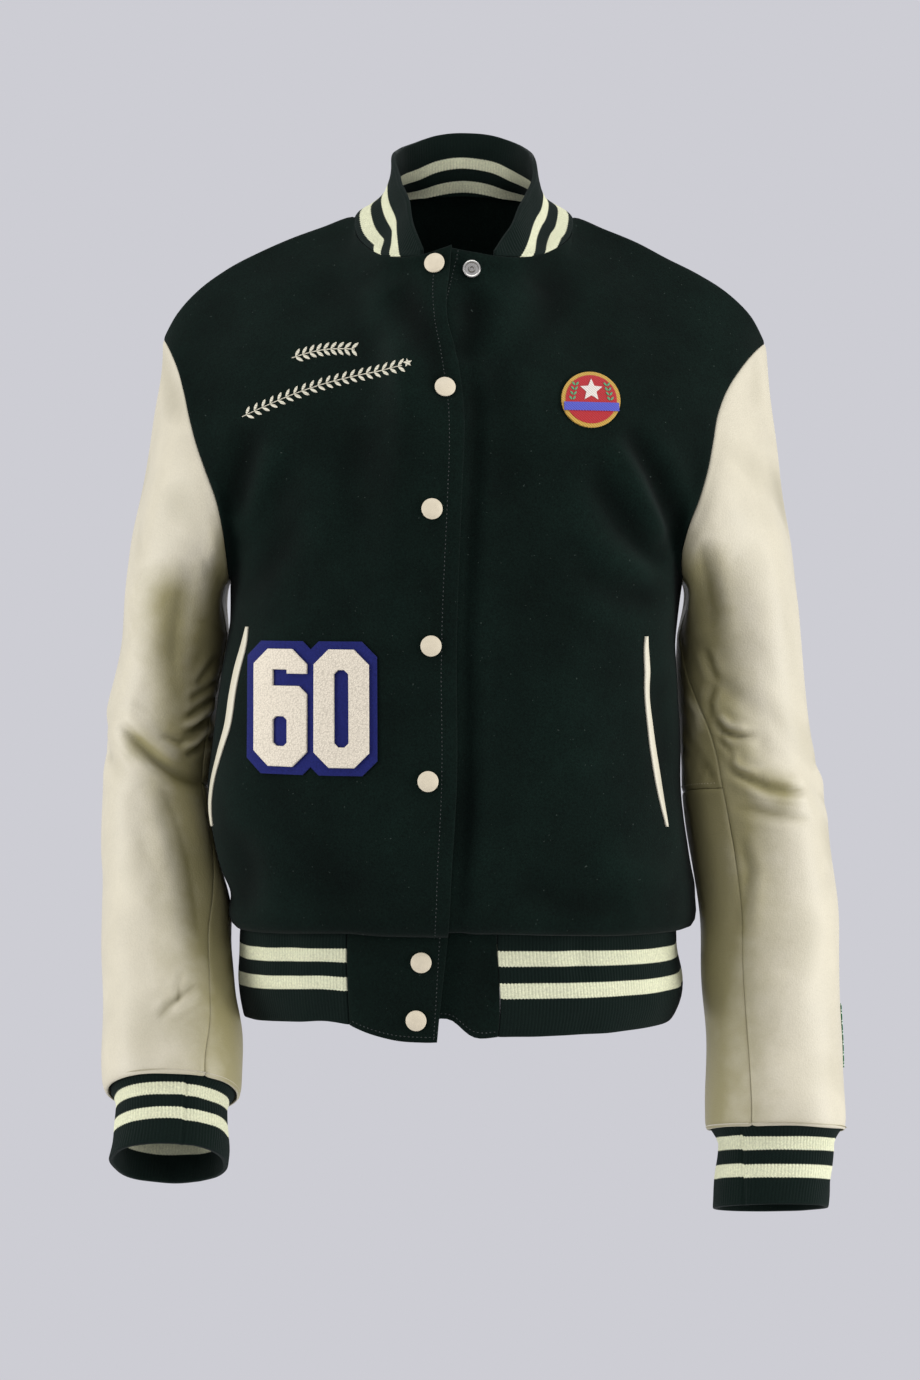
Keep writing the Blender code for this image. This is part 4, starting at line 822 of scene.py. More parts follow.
def relax_body(grid):
    """Evens out a body panel: its whole upper part, and once more where that meets the rings."""
    relax(grid, range(1, ARMHOLE_ROWS + 1), UPPER_PASSES)
    return relax(grid, range(ARMHOLE_ROWS - 4, ARMHOLE_ROWS + 3), ARMPIT_PASSES)


# ---- body ----


def section(ring, angles):
    """Points of a body ring at angles from the centre front, positive to the left side."""
    angles = np.radians(angles)
    power = 2 / ring["square"]
    across, ahead = squarer(np.sin(angles), power), squarer(np.cos(angles), power)
    centre = (ring["left"] + ring["right"]) / 2
    half = (ring["left"] - ring["right"]) / 2
    x = centre + half * across
    y = np.where(ahead > 0, -ring["front"], ring["back"]) * -ahead
    front_z = np.where(across < 0, ring["right_front_z"], ring["left_front_z"])
    z = ring["side_z"] + (front_z - ring["side_z"]) * np.clip(ahead, 0, 1) ** 2
    return np.stack([x, y, z], axis=1)


def ring_at(rings, station):
    """The sizes of one ring, read from a table of rings."""
    ring = {name: float(read(rings, name, station)[0]) for name in rings}
    if "front_z" in ring:
        ring["right_front_z"] = ring["left_front_z"] = ring["front_z"]
    return ring


def angle_of(ring, x):
    """Angle from the centre front of the point of a ring's front that lies at x."""
    share = (x - (ring["left"] + ring["right"]) / 2) / ((ring["left"] - ring["right"]) / 2)
    return math.degrees(math.asin(math.copysign(min(1.0, abs(share)) ** (ring["square"] / 2), share)))


def front_shares(side, arc, aligned):
    """Shares along a front's row: even at the armhole, and with a column on the tab's seam below."""
    even = np.linspace(0, 1, FRONT_COLUMNS + 1)
    along = lengths(arc)
    order = np.argsort(arc[:, 0])
    tab = np.interp(TAB_SEAM_X[side], arc[order, 0], along[order]) / along[-1]
    rest = np.linspace(tab, 1, FRONT_COLUMNS - TAB_COLUMNS + 1)
    tabbed = np.concatenate([np.linspace(0, tab, TAB_COLUMNS + 1)[:-1], rest])
    return even * (1 - aligned) + tabbed * aligned


def ring_row(ring, side, aligned):
    """A front's row of points on a ring, from its edge to its side seam."""
    edge_x = float(read(CLOSURE, side + "_edge", ring["left_front_z"])[0])
    seam = 90 if side == "left" else -90
    arc = section(ring, np.linspace(angle_of(ring, edge_x), seam, ARC_SAMPLES))
    return spaced(arc, front_shares(side, arc, aligned))


def front_grid(side):
    """Base points of a front, rows from the neck and shoulder down to the hem seam."""
    bottom = ring_row(ring_at(BODY, 0.0), side, 0.0)
    neck = curve(NECKLINE[side], NECK_COLUMNS - 1)
    shoulder = curve(SHOULDER[side], FRONT_COLUMNS - NECK_COLUMNS)
    corner = curve(NECKLINE[side + "_corner"], 1)
    if side == "left":
        corner, neck = corner[::-1], neck[::-1]
    top = join(corner, neck, shoulder[::-1])
    heights = np.linspace(bottom[0, 2], top[0, 2], EDGE_SAMPLES)
    edge = np.stack([read(CLOSURE, side + "_edge", heights), read(CLOSURE, "y", heights), heights], axis=1)
    edge = evenly(edge, ARMHOLE_ROWS + 1)
    armhole = curve(ARMHOLE[side + "_front"], ARMHOLE_ROWS)
    edge[0], edge[-1] = bottom[0], top[0]
    armhole[0], armhole[-1] = bottom[-1], top[-1]
    upper = coons(bottom, top, edge, armhole)
    stations = np.linspace(0, BODY["station"][-1], BODY_ROWS + 1)[1:]
    lower = [ring_row(ring_at(BODY, station), side, station / stations[-1]) for station in stations]
    return relax_body(np.concatenate([upper[::-1], np.stack(lower)]))


def back_grid():
    """Base points of the back, columns from the right side seam to the left one."""
    ring = ring_at(BODY, 0.0)
    halves = []
    for side, seam in (("right", 270), ("left", 90)):
        bottom = evenly(section(ring, np.linspace(seam, 180, ARC_SAMPLES)), FRONT_COLUMNS + 1)
        shoulder = curve(SHOULDER[side], FRONT_COLUMNS - NECK_COLUMNS)
        neck = curve(NECKLINE["back_" + side], NECK_COLUMNS)
        top = join(shoulder, neck if side == "right" else neck[::-1])
        armhole = curve(ARMHOLE[side + "_back"], ARMHOLE_ROWS)
        centre = curve(CENTRE_BACK, ARMHOLE_ROWS)
        centre[0] = bottom[-1]
        armhole[0], armhole[-1] = bottom[0], top[0]
        halves.append(coons(bottom, top, armhole, centre))
    upper = np.concatenate([halves[0], halves[1][:, ::-1][:, 1:]], axis=1)
    lower = []
    for station in np.linspace(0, BODY["station"][-1], BODY_ROWS + 1)[1:]:
        arc = section(ring_at(BODY, station), np.linspace(270, 90, 2 * ARC_SAMPLES))
        lower.append(evenly(arc, 2 * FRONT_COLUMNS + 1))
    return relax_body(np.concatenate([upper[::-1], np.stack(lower)]))


def hem_grids(front_right, front_left, back):
    """The two tabs and the band between them, whose top rows are the body's bottom rows."""
    start = join(front_right[-1], back[-1], front_left[-1][::-1])
    degrees = np.linspace(-180, 180, 721)
    base = section(ring_at(HEM, 0.0), degrees)
    angle = np.array([np.argmin(np.sum((base - point) ** 2, axis=1)) for point in start])
    rows = []
    for station in np.linspace(0, HEM["station"][-1], HEM_ROWS + 1):
        rows.append(section(ring_at(HEM, station), degrees)[angle] + (start - base[angle]))
    grid = np.stack(rows)
    down = np.linspace(0, 1, HEM_ROWS + 1)
    for column, edge in ((0, "right_edge"), (-1, "left_edge")):
        grid[1:, column, 0] = read(CLOSURE, edge, grid[1:, column, 2])
    for column in range(TAB_COLUMNS + 1):
        grid[:, column, 2] -= read(TAB_DROP, "drop", grid[-1, column, 0]) * down
    tab_right, tab_left = grid[:, : TAB_COLUMNS + 1], grid[:, -TAB_COLUMNS - 1 :]
    return tab_right, tab_left, grid[:, TAB_COLUMNS : len(start) - TAB_COLUMNS]


def collar_grid():
    """The stand collar, columns from its right front end round the back to its left one."""
    base = join(
        curve(NECKLINE["right"], NECK_COLUMNS - 1),
        curve(NECKLINE["back_right"], NECK_COLUMNS),
        curve(NECKLINE["back_left"], NECK_COLUMNS),
        curve(NECKLINE["left"], NECK_COLUMNS - 1),
    )
    edge = curve(COLLAR_EDGE, len(base) - 1)
    height = np.linalg.norm(edge - base, axis=1)[:, None] / COLLAR_HEIGHT
    rows = []
    for share in np.linspace(1, 0, COLLAR_ROWS + 1):
        row = base * (1 - share) + edge * share
        outward = unit(row * (1, 1, 0) - COLLAR_CENTRE)
        sideways = np.clip(np.abs(outward[:, :1]), COLLAR_HOLLOW_LEAST, 1)
        hollow = COLLAR_HOLLOW * math.sin(math.pi * share**COLLAR_HOLLOW_BIAS)
        hollow = hollow * sideways * np.minimum(height, 1)
        rows.append(row - outward * hollow)
    return np.stack(rows)


# ---- sleeves ----


def armhole_ring(side, around):
    """Points of an armhole at shares of the way round, 0 at the shoulder and 0.5 underarm."""
    front = curve(ARMHOLE[side + "_front"], ARMHOLE_ROWS)[::-1]
    ring = join(front, curve(ARMHOLE[side + "_back"], ARMHOLE_ROWS))
    return on_line(ring, np.linspace(0, 1, len(ring)), around)


def sleeve_ring(rings, side, station, around):
    """Points of a ring below the armhole at shares of the way round."""
    ring = {name: float(read(rings, name, station)[0]) for name in rings if name != "station"}
    turns = np.linspace(0, 2 * math.pi, 2 * HALF_RING - 1)
    power = 2 / ring["square"]
    half = (ring["outer"] - ring["inner"]) / 2
    back = -squarer(np.sin(turns), power) * ring["half_depth"]
    lean = math.radians(ring["lean"])
    x = (ring["outer"] + ring["inner"]) / 2 + squarer(np.cos(turns), power) * half
    y = ring["y"] + back * math.cos(lean)
    z = ring["z"] - back * math.sin(lean)
    line = np.stack([x if side == "left" else -x, y, z], axis=1)
    even = join(evenly(line[:HALF_RING], HALF_RING), evenly(line[HALF_RING - 1 :], HALF_RING))
    return on_line(even, np.linspace(0, 1, len(even)), around)


def cap_directions(side, around):
    """Unit directions in which the sleeve leaves the armhole."""
    quarter = np.asarray(around) * 4
    cell = np.floor(quarter).astype(int)
    mix = np.sin((quarter - cell)[:, None] * math.pi / 2) ** 2
    directions = CAP_DIRECTION[cell % 4] * (1 - mix) + CAP_DIRECTION[(cell + 1) % 4] * mix
    if side == "right":
        directions = directions * (-1, 1, 1)
    return unit(directions)


def shares_between(front_seam, back_seam, kind):
    """Shares of the way round for the columns of the top sleeve or the undersleeve."""
    if kind == "top":
        return (back_seam + (1 + front_seam - back_seam) * np.linspace(0, 1, TOP_SLEEVE_COLUMNS + 1)) % 1.0
    return front_seam + (back_seam - front_seam) * np.linspace(0, 1, UNDER_SLEEVE_COLUMNS + 1)


def shares_at(side, station, kind):
    """The same shares at one of the sleeve's rings."""
    seams = [float(read(SLEEVE[side], name, station)[0]) for name in ("front_seam", "back_seam")]
    return shares_between(*seams, kind)


def sleeve_grid(side, kind):
    """Base points of the top sleeve or the whole undersleeve, rows from the armhole down."""
    start_shares = shares_between(ARMHOLE_FRONT_SEAM, ARMHOLE_BACK_SEAM, kind)
    start = armhole_ring(side, start_shares)
    end = sleeve_ring(SLEEVE[side], side, BICEP_STATION, shares_at(side, BICEP_STATION, kind))
    chord = np.linalg.norm(end - start, axis=1)[:, None]
    leave = cap_directions(side, start_shares) * chord
    arrive = np.array([(0.0, 0.0, -1.0)]) * chord
    rows = []
    for row in range(CAP_ROWS):
        share = row / CAP_ROWS
        point = (1 + 2 * share) * (1 - share) ** 2 * start + share * (1 - share) ** 2 * leave
        rows.append(point + share**2 * (3 - 2 * share) * end + share**2 * (share - 1) * arrive)
    for station in SLEEVE_STATIONS:
        rows.append(sleeve_ring(SLEEVE[side], side, station, shares_at(side, station, kind)))
    return np.stack(rows)


def cuff_grid(side):
    """A closed cuff, whose columns are those of both pieces of the sleeve."""
    top, under = (shares_at(side, SLEEVE_END, kind) for kind in ("top", "under"))
    around = np.concatenate([top, under[1:]])
    stations = np.linspace(0, CUFF[side]["station"][-1], CUFF_ROWS + 1)
    return np.stack([sleeve_ring(CUFF[side], side, station, around) for station in stations])


# ---- folds ----


def along_segment(u, v, start, end):
    """Distance of points from a segment, and how far along it they are from 0 to 1."""
    du, dv = end[0] - start[0], end[1] - start[1]
    share = np.clip(((u - start[0]) * du + (v - start[1]) * dv) / (du * du + dv * dv), 0, 1)
    return np.hypot(u - start[0] - share * du, v - start[1] - share * dv), share


def body_folds(points):
    """How far each point of a front is pushed out by the folds."""
    push = np.zeros(points.shape[:-1])
    for x0, z0, x1, z1, depth, half_width in zip(*BODY_FOLDS.values()):
        distance, share = along_segment(points[..., 0], points[..., 2], (x0, z0), (x1, z1))
        push += depth * soft(distance, half_width) * (1 - FOLD_FADE * share)
    return push


def sleeve_folds(side, points, around):
    """How far each point of a sleeve is pushed out by the folds."""
    push = np.zeros(points.shape[:-1])
    for start, z0, end, z1, depth, half_width in zip(*SLEEVE_FOLDS[side].values()):
        wrapped = (around - start + 0.5) % 1.0 - 0.5
        reach = ((end - start + 0.5) % 1.0 - 0.5) * ARM_GIRTH
        distance, share = along_segment(wrapped * ARM_GIRTH, points[..., 2], (0.0, z0), (reach, z1))
        push += depth * soft(distance, half_width) * (1 - FOLD_FADE * share)
    return push


def lap(points):
    """How far the right front stands off over the left front's hidden edge."""
    under = np.interp(points[..., 2], CLOSURE["z"], CLOSURE["left_edge"])
    return LAP_LIFT * (1 - smooth(np.clip((under - LAP_HOLD - points[..., 0]) / LAP_EASE, 0, 1)))


def tuck(points):
    """How far the left front sits in, under the right front and just beyond its edge."""
    over = np.interp(points[..., 2], CLOSURE["z"], CLOSURE["right_edge"])
    return LAP_TUCK * (1 - smooth(np.clip((points[..., 0] - over - TUCK_REACH / 2) / TUCK_REACH, 0, 1)))


# ---- walls ----


def cell_normals(grid, flip):
    """Unit normals at the points of a grid, weighted by the area of the cells around each."""
    across = np.zeros_like(grid)
    along = np.zeros_like(grid)
    across[:, 1:-1] = grid[:, 2:] - grid[:, :-2]
    across[:, 0] = grid[:, 1] - grid[:, 0]
    across[:, -1] = grid[:, -1] - grid[:, -2]
    along[1:-1] = grid[2:] - grid[:-2]
    along[0] = grid[1] - grid[0]
    along[-1] = grid[-1] - grid[-2]
    return unit(np.cross(across, along) * (-1 if flip else 1))


def key_of(point):
    return tuple(int(round(value * 2e4)) for value in point)


def group_of(piece):
    """Pieces of one group carry on each other's surface; at a seam between groups it turns."""
    first = piece["name"].split("_")[0]
    return "body" if first in ("front", "back") else first


def share_normals(pieces):
    """Gives the pieces that meet at a point one direction there, so that their edges part evenly."""
    total = {}
    for piece in pieces:
        piece["own"] = cell_normals(piece["grid"], piece["flip"])
        for point, normal in zip(piece["grid"].reshape(-1, 3), piece["own"].reshape(-1, 3)):
            total.setdefault(key_of(point), {}).setdefault(group_of(piece), []).append(normal)
    direction = {
        key: np.mean([np.mean(each, axis=0) for each in groups.values()], axis=0)
        for key, groups in total.items()
    }
    for piece in pieces:
        flat = [direction[key_of(point)] for point in piece["grid"].reshape(-1, 3)]
        shared = unit(np.array(flat).reshape(piece["grid"].shape))
        leaning = np.sum(shared * piece["own"], axis=2, keepdims=True)
        piece["normal"] = shared / np.clip(leaning, LEAST_LEAN, 1.0)
        if piece["name"].endswith("under_upper"):
            first = piece["normal"][0]
            met = np.arange(0, len(first), ARMHOLE_SPLIT)
            first[:] = on_line(first[met], met, np.arange(len(first)))


def square_on(line, inner, closed):
    """Unit directions from an edge line toward the next line inside it, square to the edge."""
    if closed:
        run = np.roll(line[:-1], -1, axis=0) - np.roll(line[:-1], 1, axis=0)
        run = np.concatenate([run, run[:1]])
    else:
        run = np.gradient(line, axis=0)
    run = unit(run)
    toward = inner - line
    return unit(toward - run * np.sum(toward * run, axis=1, keepdims=True))


def piece_of(name, grid, finish, flip, large=None, closed=False):
    """One cloth piece: its coarse grid, and how far its large folds push a finer one out."""
    return dict(name=name, grid=grid, finish=finish, flip=flip, large=large, closed=closed)


def grid_tree(grid):
    """A search tree of a base grid's surface."""
    rows, columns = grid.shape[:2]
    faces = []
    for row in range(rows - 1):
        for column in range(columns - 1):
            a = row * columns + column
            faces += [(a, a + 1, a + columns), (a + 1, a + columns + 1, a + columns)]
    return BVHTree.FromPolygons([Vector(point) for point in grid.reshape(-1, 3)], faces)


def lay_over(right, left):
    """Draws the right front onto the left front's surface where it laps over it."""
    right_tree, left_tree = grid_tree(right), grid_tree(left)
    laid = right.copy()
    for row in range(1, len(right) - 1):
        for column in range(right.shape[1]):
            x, _, z = right[row, column]
            under = float(np.interp(z, CLOSURE["z"], CLOSURE["left_edge"])) + LAP_MARGIN
            past = min(max((under - LAP_HOLD - x) / LAP_EASE, 0.0), 1.0)
            on_left = front_point(left_tree, max(x, under), z)[0]
            on_right = front_point(right_tree, max(x, under) - LAP_MARGIN, z)[0]
            if on_left is not None and on_right is not None and past < 1.0:
                laid[row, column, 1] += (on_left.y - on_right.y) * (1 - smooth(past))
    return laid


def body_pieces():
    front_right, front_left, back = front_grid("right"), front_grid("left"), back_grid()
    front_right = lay_over(front_right, front_left)
    tab_right, tab_left, hem = hem_grids(front_right, front_left, back)
    return [
        piece_of("front_right", front_right, "wool", False, lambda base, keys: body_folds(base) + lap(base)),
        piece_of("front_left", front_left, "wool", True, lambda base, keys: body_folds(base) - tuck(base)),
        piece_of("back", back, "wool", False),
        piece_of("hem_tab_right", tab_right, "wool", False, lambda base, keys: lap(base)),
        piece_of("hem_tab_left", tab_left, "wool", False, lambda base, keys: -tuck(base)),
        piece_of("hem_rib", hem, "rib", False),
        piece_of("collar_rib", collar_grid(), "rib", False),
    ]


def folds_for(side, kind):
    """The large folds of one piece of a sleeve."""
    unwrapped = np.unwrap(shares_at(side, BICEP_STATION, kind) * 2 * math.pi) / (2 * math.pi)

    def push(base, keys):
        around = np.interp(keys, np.arange(len(unwrapped)), unwrapped)
        return sleeve_folds(side, base, np.broadcast_to(around, base.shape[:2]))

    return push


def sleeve_pieces(side):
    """The three leather pieces of a sleeve, parted at its seams, and its cuff."""
    pieces = []
    elbow = CAP_ROWS + int(np.argmin(np.abs(SLEEVE_STATIONS - ELBOW_STATION)))
    flip = side == "right"
    for part, first, last in (("top", 0, None), ("under_upper", 0, elbow + 1), ("under_lower", elbow, None)):
        kind = part.split("_")[0]
        grid = sleeve_grid(side, kind)[first:last]
        pieces.append(piece_of(f"sleeve_{side}_{part}", grid, "leather", flip, folds_for(side, kind)))
    pieces.append(piece_of(f"cuff_{side}", cuff_grid(side), "rib", flip, closed=True))
    return pieces


# ---- what lies on the panels ----


def front_point(tree, x, z):
    """The outer surface straight ahead of (x, z), and its normal."""
    point, normal, _, _ = tree.ray_cast(Vector((x, -1.0, z)), AHEAD)
    if normal is not None and normal.y > 0:
        normal = -normal
    return point, normal


def mean_normal(tree, x, z, reach):
    """The panel's normal over a small disc round (x, z)."""
    total = Vector()
    middle = front_point(tree, x, z)[0]
    for turn in np.linspace(0, 2 * math.pi, 9)[:-1]:
        point, normal = front_point(tree, x + reach * math.cos(turn), z + reach * math.sin(turn))
        if (point - middle).length < 2 * reach:
            total += normal
    return total.normalized()


def seat(tree, x, z, radius):
    """Where a flat round base of this radius clears the panel by a seam's gap."""
    point, _ = front_point(tree, x, z)
    normal = mean_normal(tree, x, z, radius * 0.9)
    highest = 0.0
    for turn in np.linspace(0, 2 * math.pi, 25)[:-1]:
        for share in (0.35, 0.7, 1.0):
            reach = radius * share
            spot = front_point(tree, x + reach * math.cos(turn), z + reach * math.sin(turn))[0]
            if (spot - point).length < 2 * radius:
                highest = max(highest, (spot - point).dot(normal))
    return point + normal * (highest + SEAM_GAP), normal


def octagon(width, height, corner, centre=(0.0, 0.0)):
    """A rectangle with cut corners, anticlockwise."""
    w, h, c = width / 2, height / 2, corner
    upper = [(w, h - c), (w - c, h), (c - w, h), (-w, h - c)]
    lower = [(-x, -y) for x, y in upper]
    return [(centre[0] + x, centre[1] + y) for x, y in upper + lower]


def oval(width, height, steps=20):
    turns = np.linspace(0, 2 * math.pi, steps + 1)[:-1]
    return [(width / 2 * math.cos(t), height / 2 * math.sin(t)) for t in turns]


# ---- fine surfaces ----


def keys_along(line, cell):
    """Where fine points fall along a coarse line: close together at its ends, then a cell apart."""
    along = lengths(line)
    inner = RIM_STOPS[-1] + cell / 2
    count = max(2, round((along[-1] - 2 * inner) / cell))
    ends = np.array(RIM_STOPS)
    stops = [ends, np.linspace(inner, along[-1] - inner, count + 1), along[-1] - ends[::-1]]
    return np.interp(np.concatenate(stops), along, np.arange(len(line)))


def ribbed_keys(line, pitch):
    """The same for knit: each rib of this pitch has one number of points."""
    along = lengths(line)
    wanted = np.linspace(0, along[-1], round(along[-1] / pitch) * RIB_SAMPLES + 1)
    return np.interp(wanted, along, np.arange(len(line)))


def resample(grid, row_keys, column_keys, closed=False):
    """Reads a grid's smooth surface at fractional rows and columns."""
    rows, columns = grid.shape[:2]
    if closed:
        grid = np.concatenate([grid[:, -4:-1], grid, grid[:, 1:4]], axis=1)
        column_keys = np.asarray(column_keys) + 3
        columns += 6
    down = spline(np.arange(rows), grid.reshape(rows, -1), row_keys).reshape(len(row_keys), columns, -1)
    turned_round = down.transpose(1, 0, 2).reshape(columns, -1)
    fine = spline(np.arange(columns), turned_round, column_keys)
    return fine.reshape(len(column_keys), len(row_keys), -1).transpose(1, 0, 2)


def edge_distances(points):
    """Each point's distance from the first and last row, and the first and last column."""
    down = np.linalg.norm(np.diff(points, axis=0), axis=2)
    across = np.linalg.norm(np.diff(points, axis=1), axis=2)
    from_top = np.concatenate([np.zeros((1, points.shape[1])), np.cumsum(down, axis=0)])
    from_start = np.concatenate([np.zeros((points.shape[0], 1)), np.cumsum(across, axis=1)], axis=1)
    return from_top, from_top[-1:] - from_top, from_start, from_start[:, -1:] - from_start


def rim_drop(distance):
    """How far a wall's face falls away at its rounded rim."""
    near = np.clip(RIM_ROUND - distance, 0, RIM_ROUND)
    return RIM_ROUND - np.sqrt(RIM_ROUND**2 - near**2)


def crease_push(points, normals, creases, crisp):
    """How far the creases of a table move each point out. The troughs of leather are crisp."""
    push = np.zeros(points.shape[:2])
    for facing, rows in creases.items():
        across, sign, normal_axis = FACINGS[facing]
        faced = smooth(np.clip((sign * normals[..., normal_axis] + FACED_FROM) / FACED_EASE, 0, 1))
        for line, depth, half_width in rows:
            near = np.full(points.shape[:2], np.inf)
            along = np.zeros(points.shape[:2])
            spans = len(line) - 1
            for index in range(spans):
                span = line[index], line[index + 1]
                distance, share = along_segment(points[..., across], points[..., 2], *span)
                along = np.where(distance < near, (index + share) / spans, along)
                near = np.minimum(near, distance)
            taper = 1 - np.abs(2 * along - 1) ** 4
            reach = FLANK_REACH * half_width
            profile = soft(near, half_width)
            if crisp and depth < 0:
                profile = np.clip(1 - near / reach, 0, 1) ** 2
            profile -= FLANK_SHARE * soft(near - reach, FLANK_WIDTH * half_width)
            push += depth * profile * taper * faced
    return push


def flared(piece, base, out, edges):
    """Draws the end of a sleeve and the top of its cuff out to the sleeve's full width."""
    side = "right" if "right" in piece["name"] else "left"
    ring = JACKET[f"cuff_{side}"]["grid"]
    centre = ring[0].mean(axis=0)
    axis = unit(ring[-1].mean(axis=0) - centre)
    radial = base - centre
    radial = unit(radial - axis * np.sum(radial * axis, axis=2, keepdims=True))
    distance = edges[0] if piece["closed"] else edges[1]
    share = np.clip(1 - distance / FLARE_REACH, 0, 1)[..., None] ** FLARE_EASE
    base = base + radial * FLARE * share
    turned = cell_normals(base, piece["flip"])
    if piece["closed"]:
        turned[:, 0] = turned[:, -1] = turned[:, 0] + turned[:, -1]
    return base, unit(out * (1 - share) + turned * share)


def sleeve_shade_amount(points, normals):
    """How much painted shade each point of the leather gets, from 0 to 1."""
    inward = -normals[..., 0] * np.sign(points[..., 0])
    inward = inward + SHADE_PAINT_SPREAD * soft(points[..., 2] - SHADE_PAINT_HEIGHT, SHADE_PAINT_REACH)
    total = np.clip(inward, 0, 1)
    for line, half_width in SHADE_PAINT_LINES["right" if points[..., 0].mean() < 0 else "left"]:
        spans = zip(line[:-1], line[1:])
        near = [along_segment(points[..., 0], points[..., 2], *span)[0] for span in spans]
        total = np.maximum(total, soft(np.min(near, axis=0), half_width))
    return total


def raised_hem(points):
    """Points of the body with the seam of the hem drawn up, and the free edge left in place."""
    z = points[..., 2]
    down = np.clip((HEM_RISE_FROM - z) / (HEM_RISE_FROM - HEM_SEAM), 0, 1)
    back = np.clip((z - HEM_FREE_EDGE) / (HEM_SEAM - HEM_FREE_EDGE), 0, 1)
    raised = points.copy()
    raised[..., 2] += HEM_RISE * np.minimum(smooth(down), back)
    return raised


def unevenness(points, size, depth, seed):
    """A soft irregular swell of the cloth, about this size across."""
    numbers = np.random.default_rng(seed)
    total = np.zeros(points.shape[:2])
    for _ in range(SWELL_WAVES):
        heading = numbers.normal(size=3)
        heading *= 2 * math.pi / (size * numbers.uniform(0.7, 1.8) * np.linalg.norm(heading))
        total += np.sin(points @ heading + numbers.uniform(0, 2 * math.pi))
    return total * depth / math.sqrt(SWELL_WAVES / 2)


def skin(name, outer, inner, closed, flip, uv):
    """A closed wall between two grids of points, with its cloth's map in metres."""
    if closed:
        outer, inner = outer[:, :-1], inner[:, :-1]
    rows, wide = outer.shape[:2]
    layer, last = rows * wide, (rows - 1) * wide
    head = np.arange(wide if closed else wide - 1)
    tail = (head + 1) % wide
    down = np.arange(rows - 1)[:, None] * wide
    a, b = (down + head).reshape(-1), (down + tail).reshape(-1)
    walls = [(a, b, b + wide, a + wide), (a + wide + layer, b + wide + layer, b + layer, a + layer)]
    walls.append((tail, head, head + layer, tail + layer))
    walls.append((head + last, tail + last, tail + layer + last, head + layer + last))
    if not closed:
        left = down.reshape(-1)
        walls.append((left, left + wide, left + wide + layer, left + layer))
        right = left + wide - 1
        walls.append((right + wide, right, right + layer, right + wide + layer))
    faces = np.concatenate([np.stack(wall, axis=1) for wall in walls])
    if flip:
        faces = faces[:, ::-1]
    mesh = bpy.data.meshes.new(name)
    points = np.concatenate([outer.reshape(-1, 3), inner.reshape(-1, 3)])
    mesh.from_pydata(points.tolist(), [], faces.tolist())
    corners = np.concatenate([uv[:, :wide].reshape(-1, 2)] * 2)[faces.reshape(-1)].reshape(-1, 4, 2)
    if closed:
        # The last face runs on past the first column, so that its map doesn't jump back
        full = uv[:, -1, 0].max()
        run = corners[..., 0]
        jumps = run.max(axis=1) - run.min(axis=1) > full / 2
        run += full * (jumps[:, None] & (run < full / 2))
    layer_uv = mesh.uv_layers.new(name="Cloth")
    layer_uv.data.foreach_set("uv", corners.reshape(-1).astype(np.float32))
    mesh.shade_smooth()
    mesh.update()
    return mesh


def paint(mesh, name, values):
    """Keeps one number for each point of a wall's two faces, for its material to read."""
    attribute = mesh.attributes.new(name, "FLOAT", "POINT")
    attribute.data.foreach_set("value", np.concatenate([values.reshape(-1)] * 2).astype(np.float32))


def carried(name, mesh, finish):
    """A finished piece of the jacket: its object, finish and place on the body."""
    made = bpy.data.objects.new(name, mesh)
    bpy.context.scene.collection.objects.link(made)
    mesh.materials.append(finish)
    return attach(made, "root")


def knit_map(name, shape, edges, pitch):
    """A knit's map in metres: across by its ribs, and up from its free edge by its stripes."""
    u = np.broadcast_to(np.arange(shape[1]) / RIB_SAMPLES * pitch, shape)
    if name == "collar_rib":
        return u, edges[0] * RIB_WIDTH / np.maximum(edges[0][-1:], COLLAR_KNIT_DEPTH)
    v = edges[1] / edges[0][-1:] * RIB_WIDTH
    if name == "hem_rib":
        v = np.maximum(v * (1 + HEM_RISE / RIB_WIDTH) - HEM_STRIPE_RISE, 0)
    return u, v


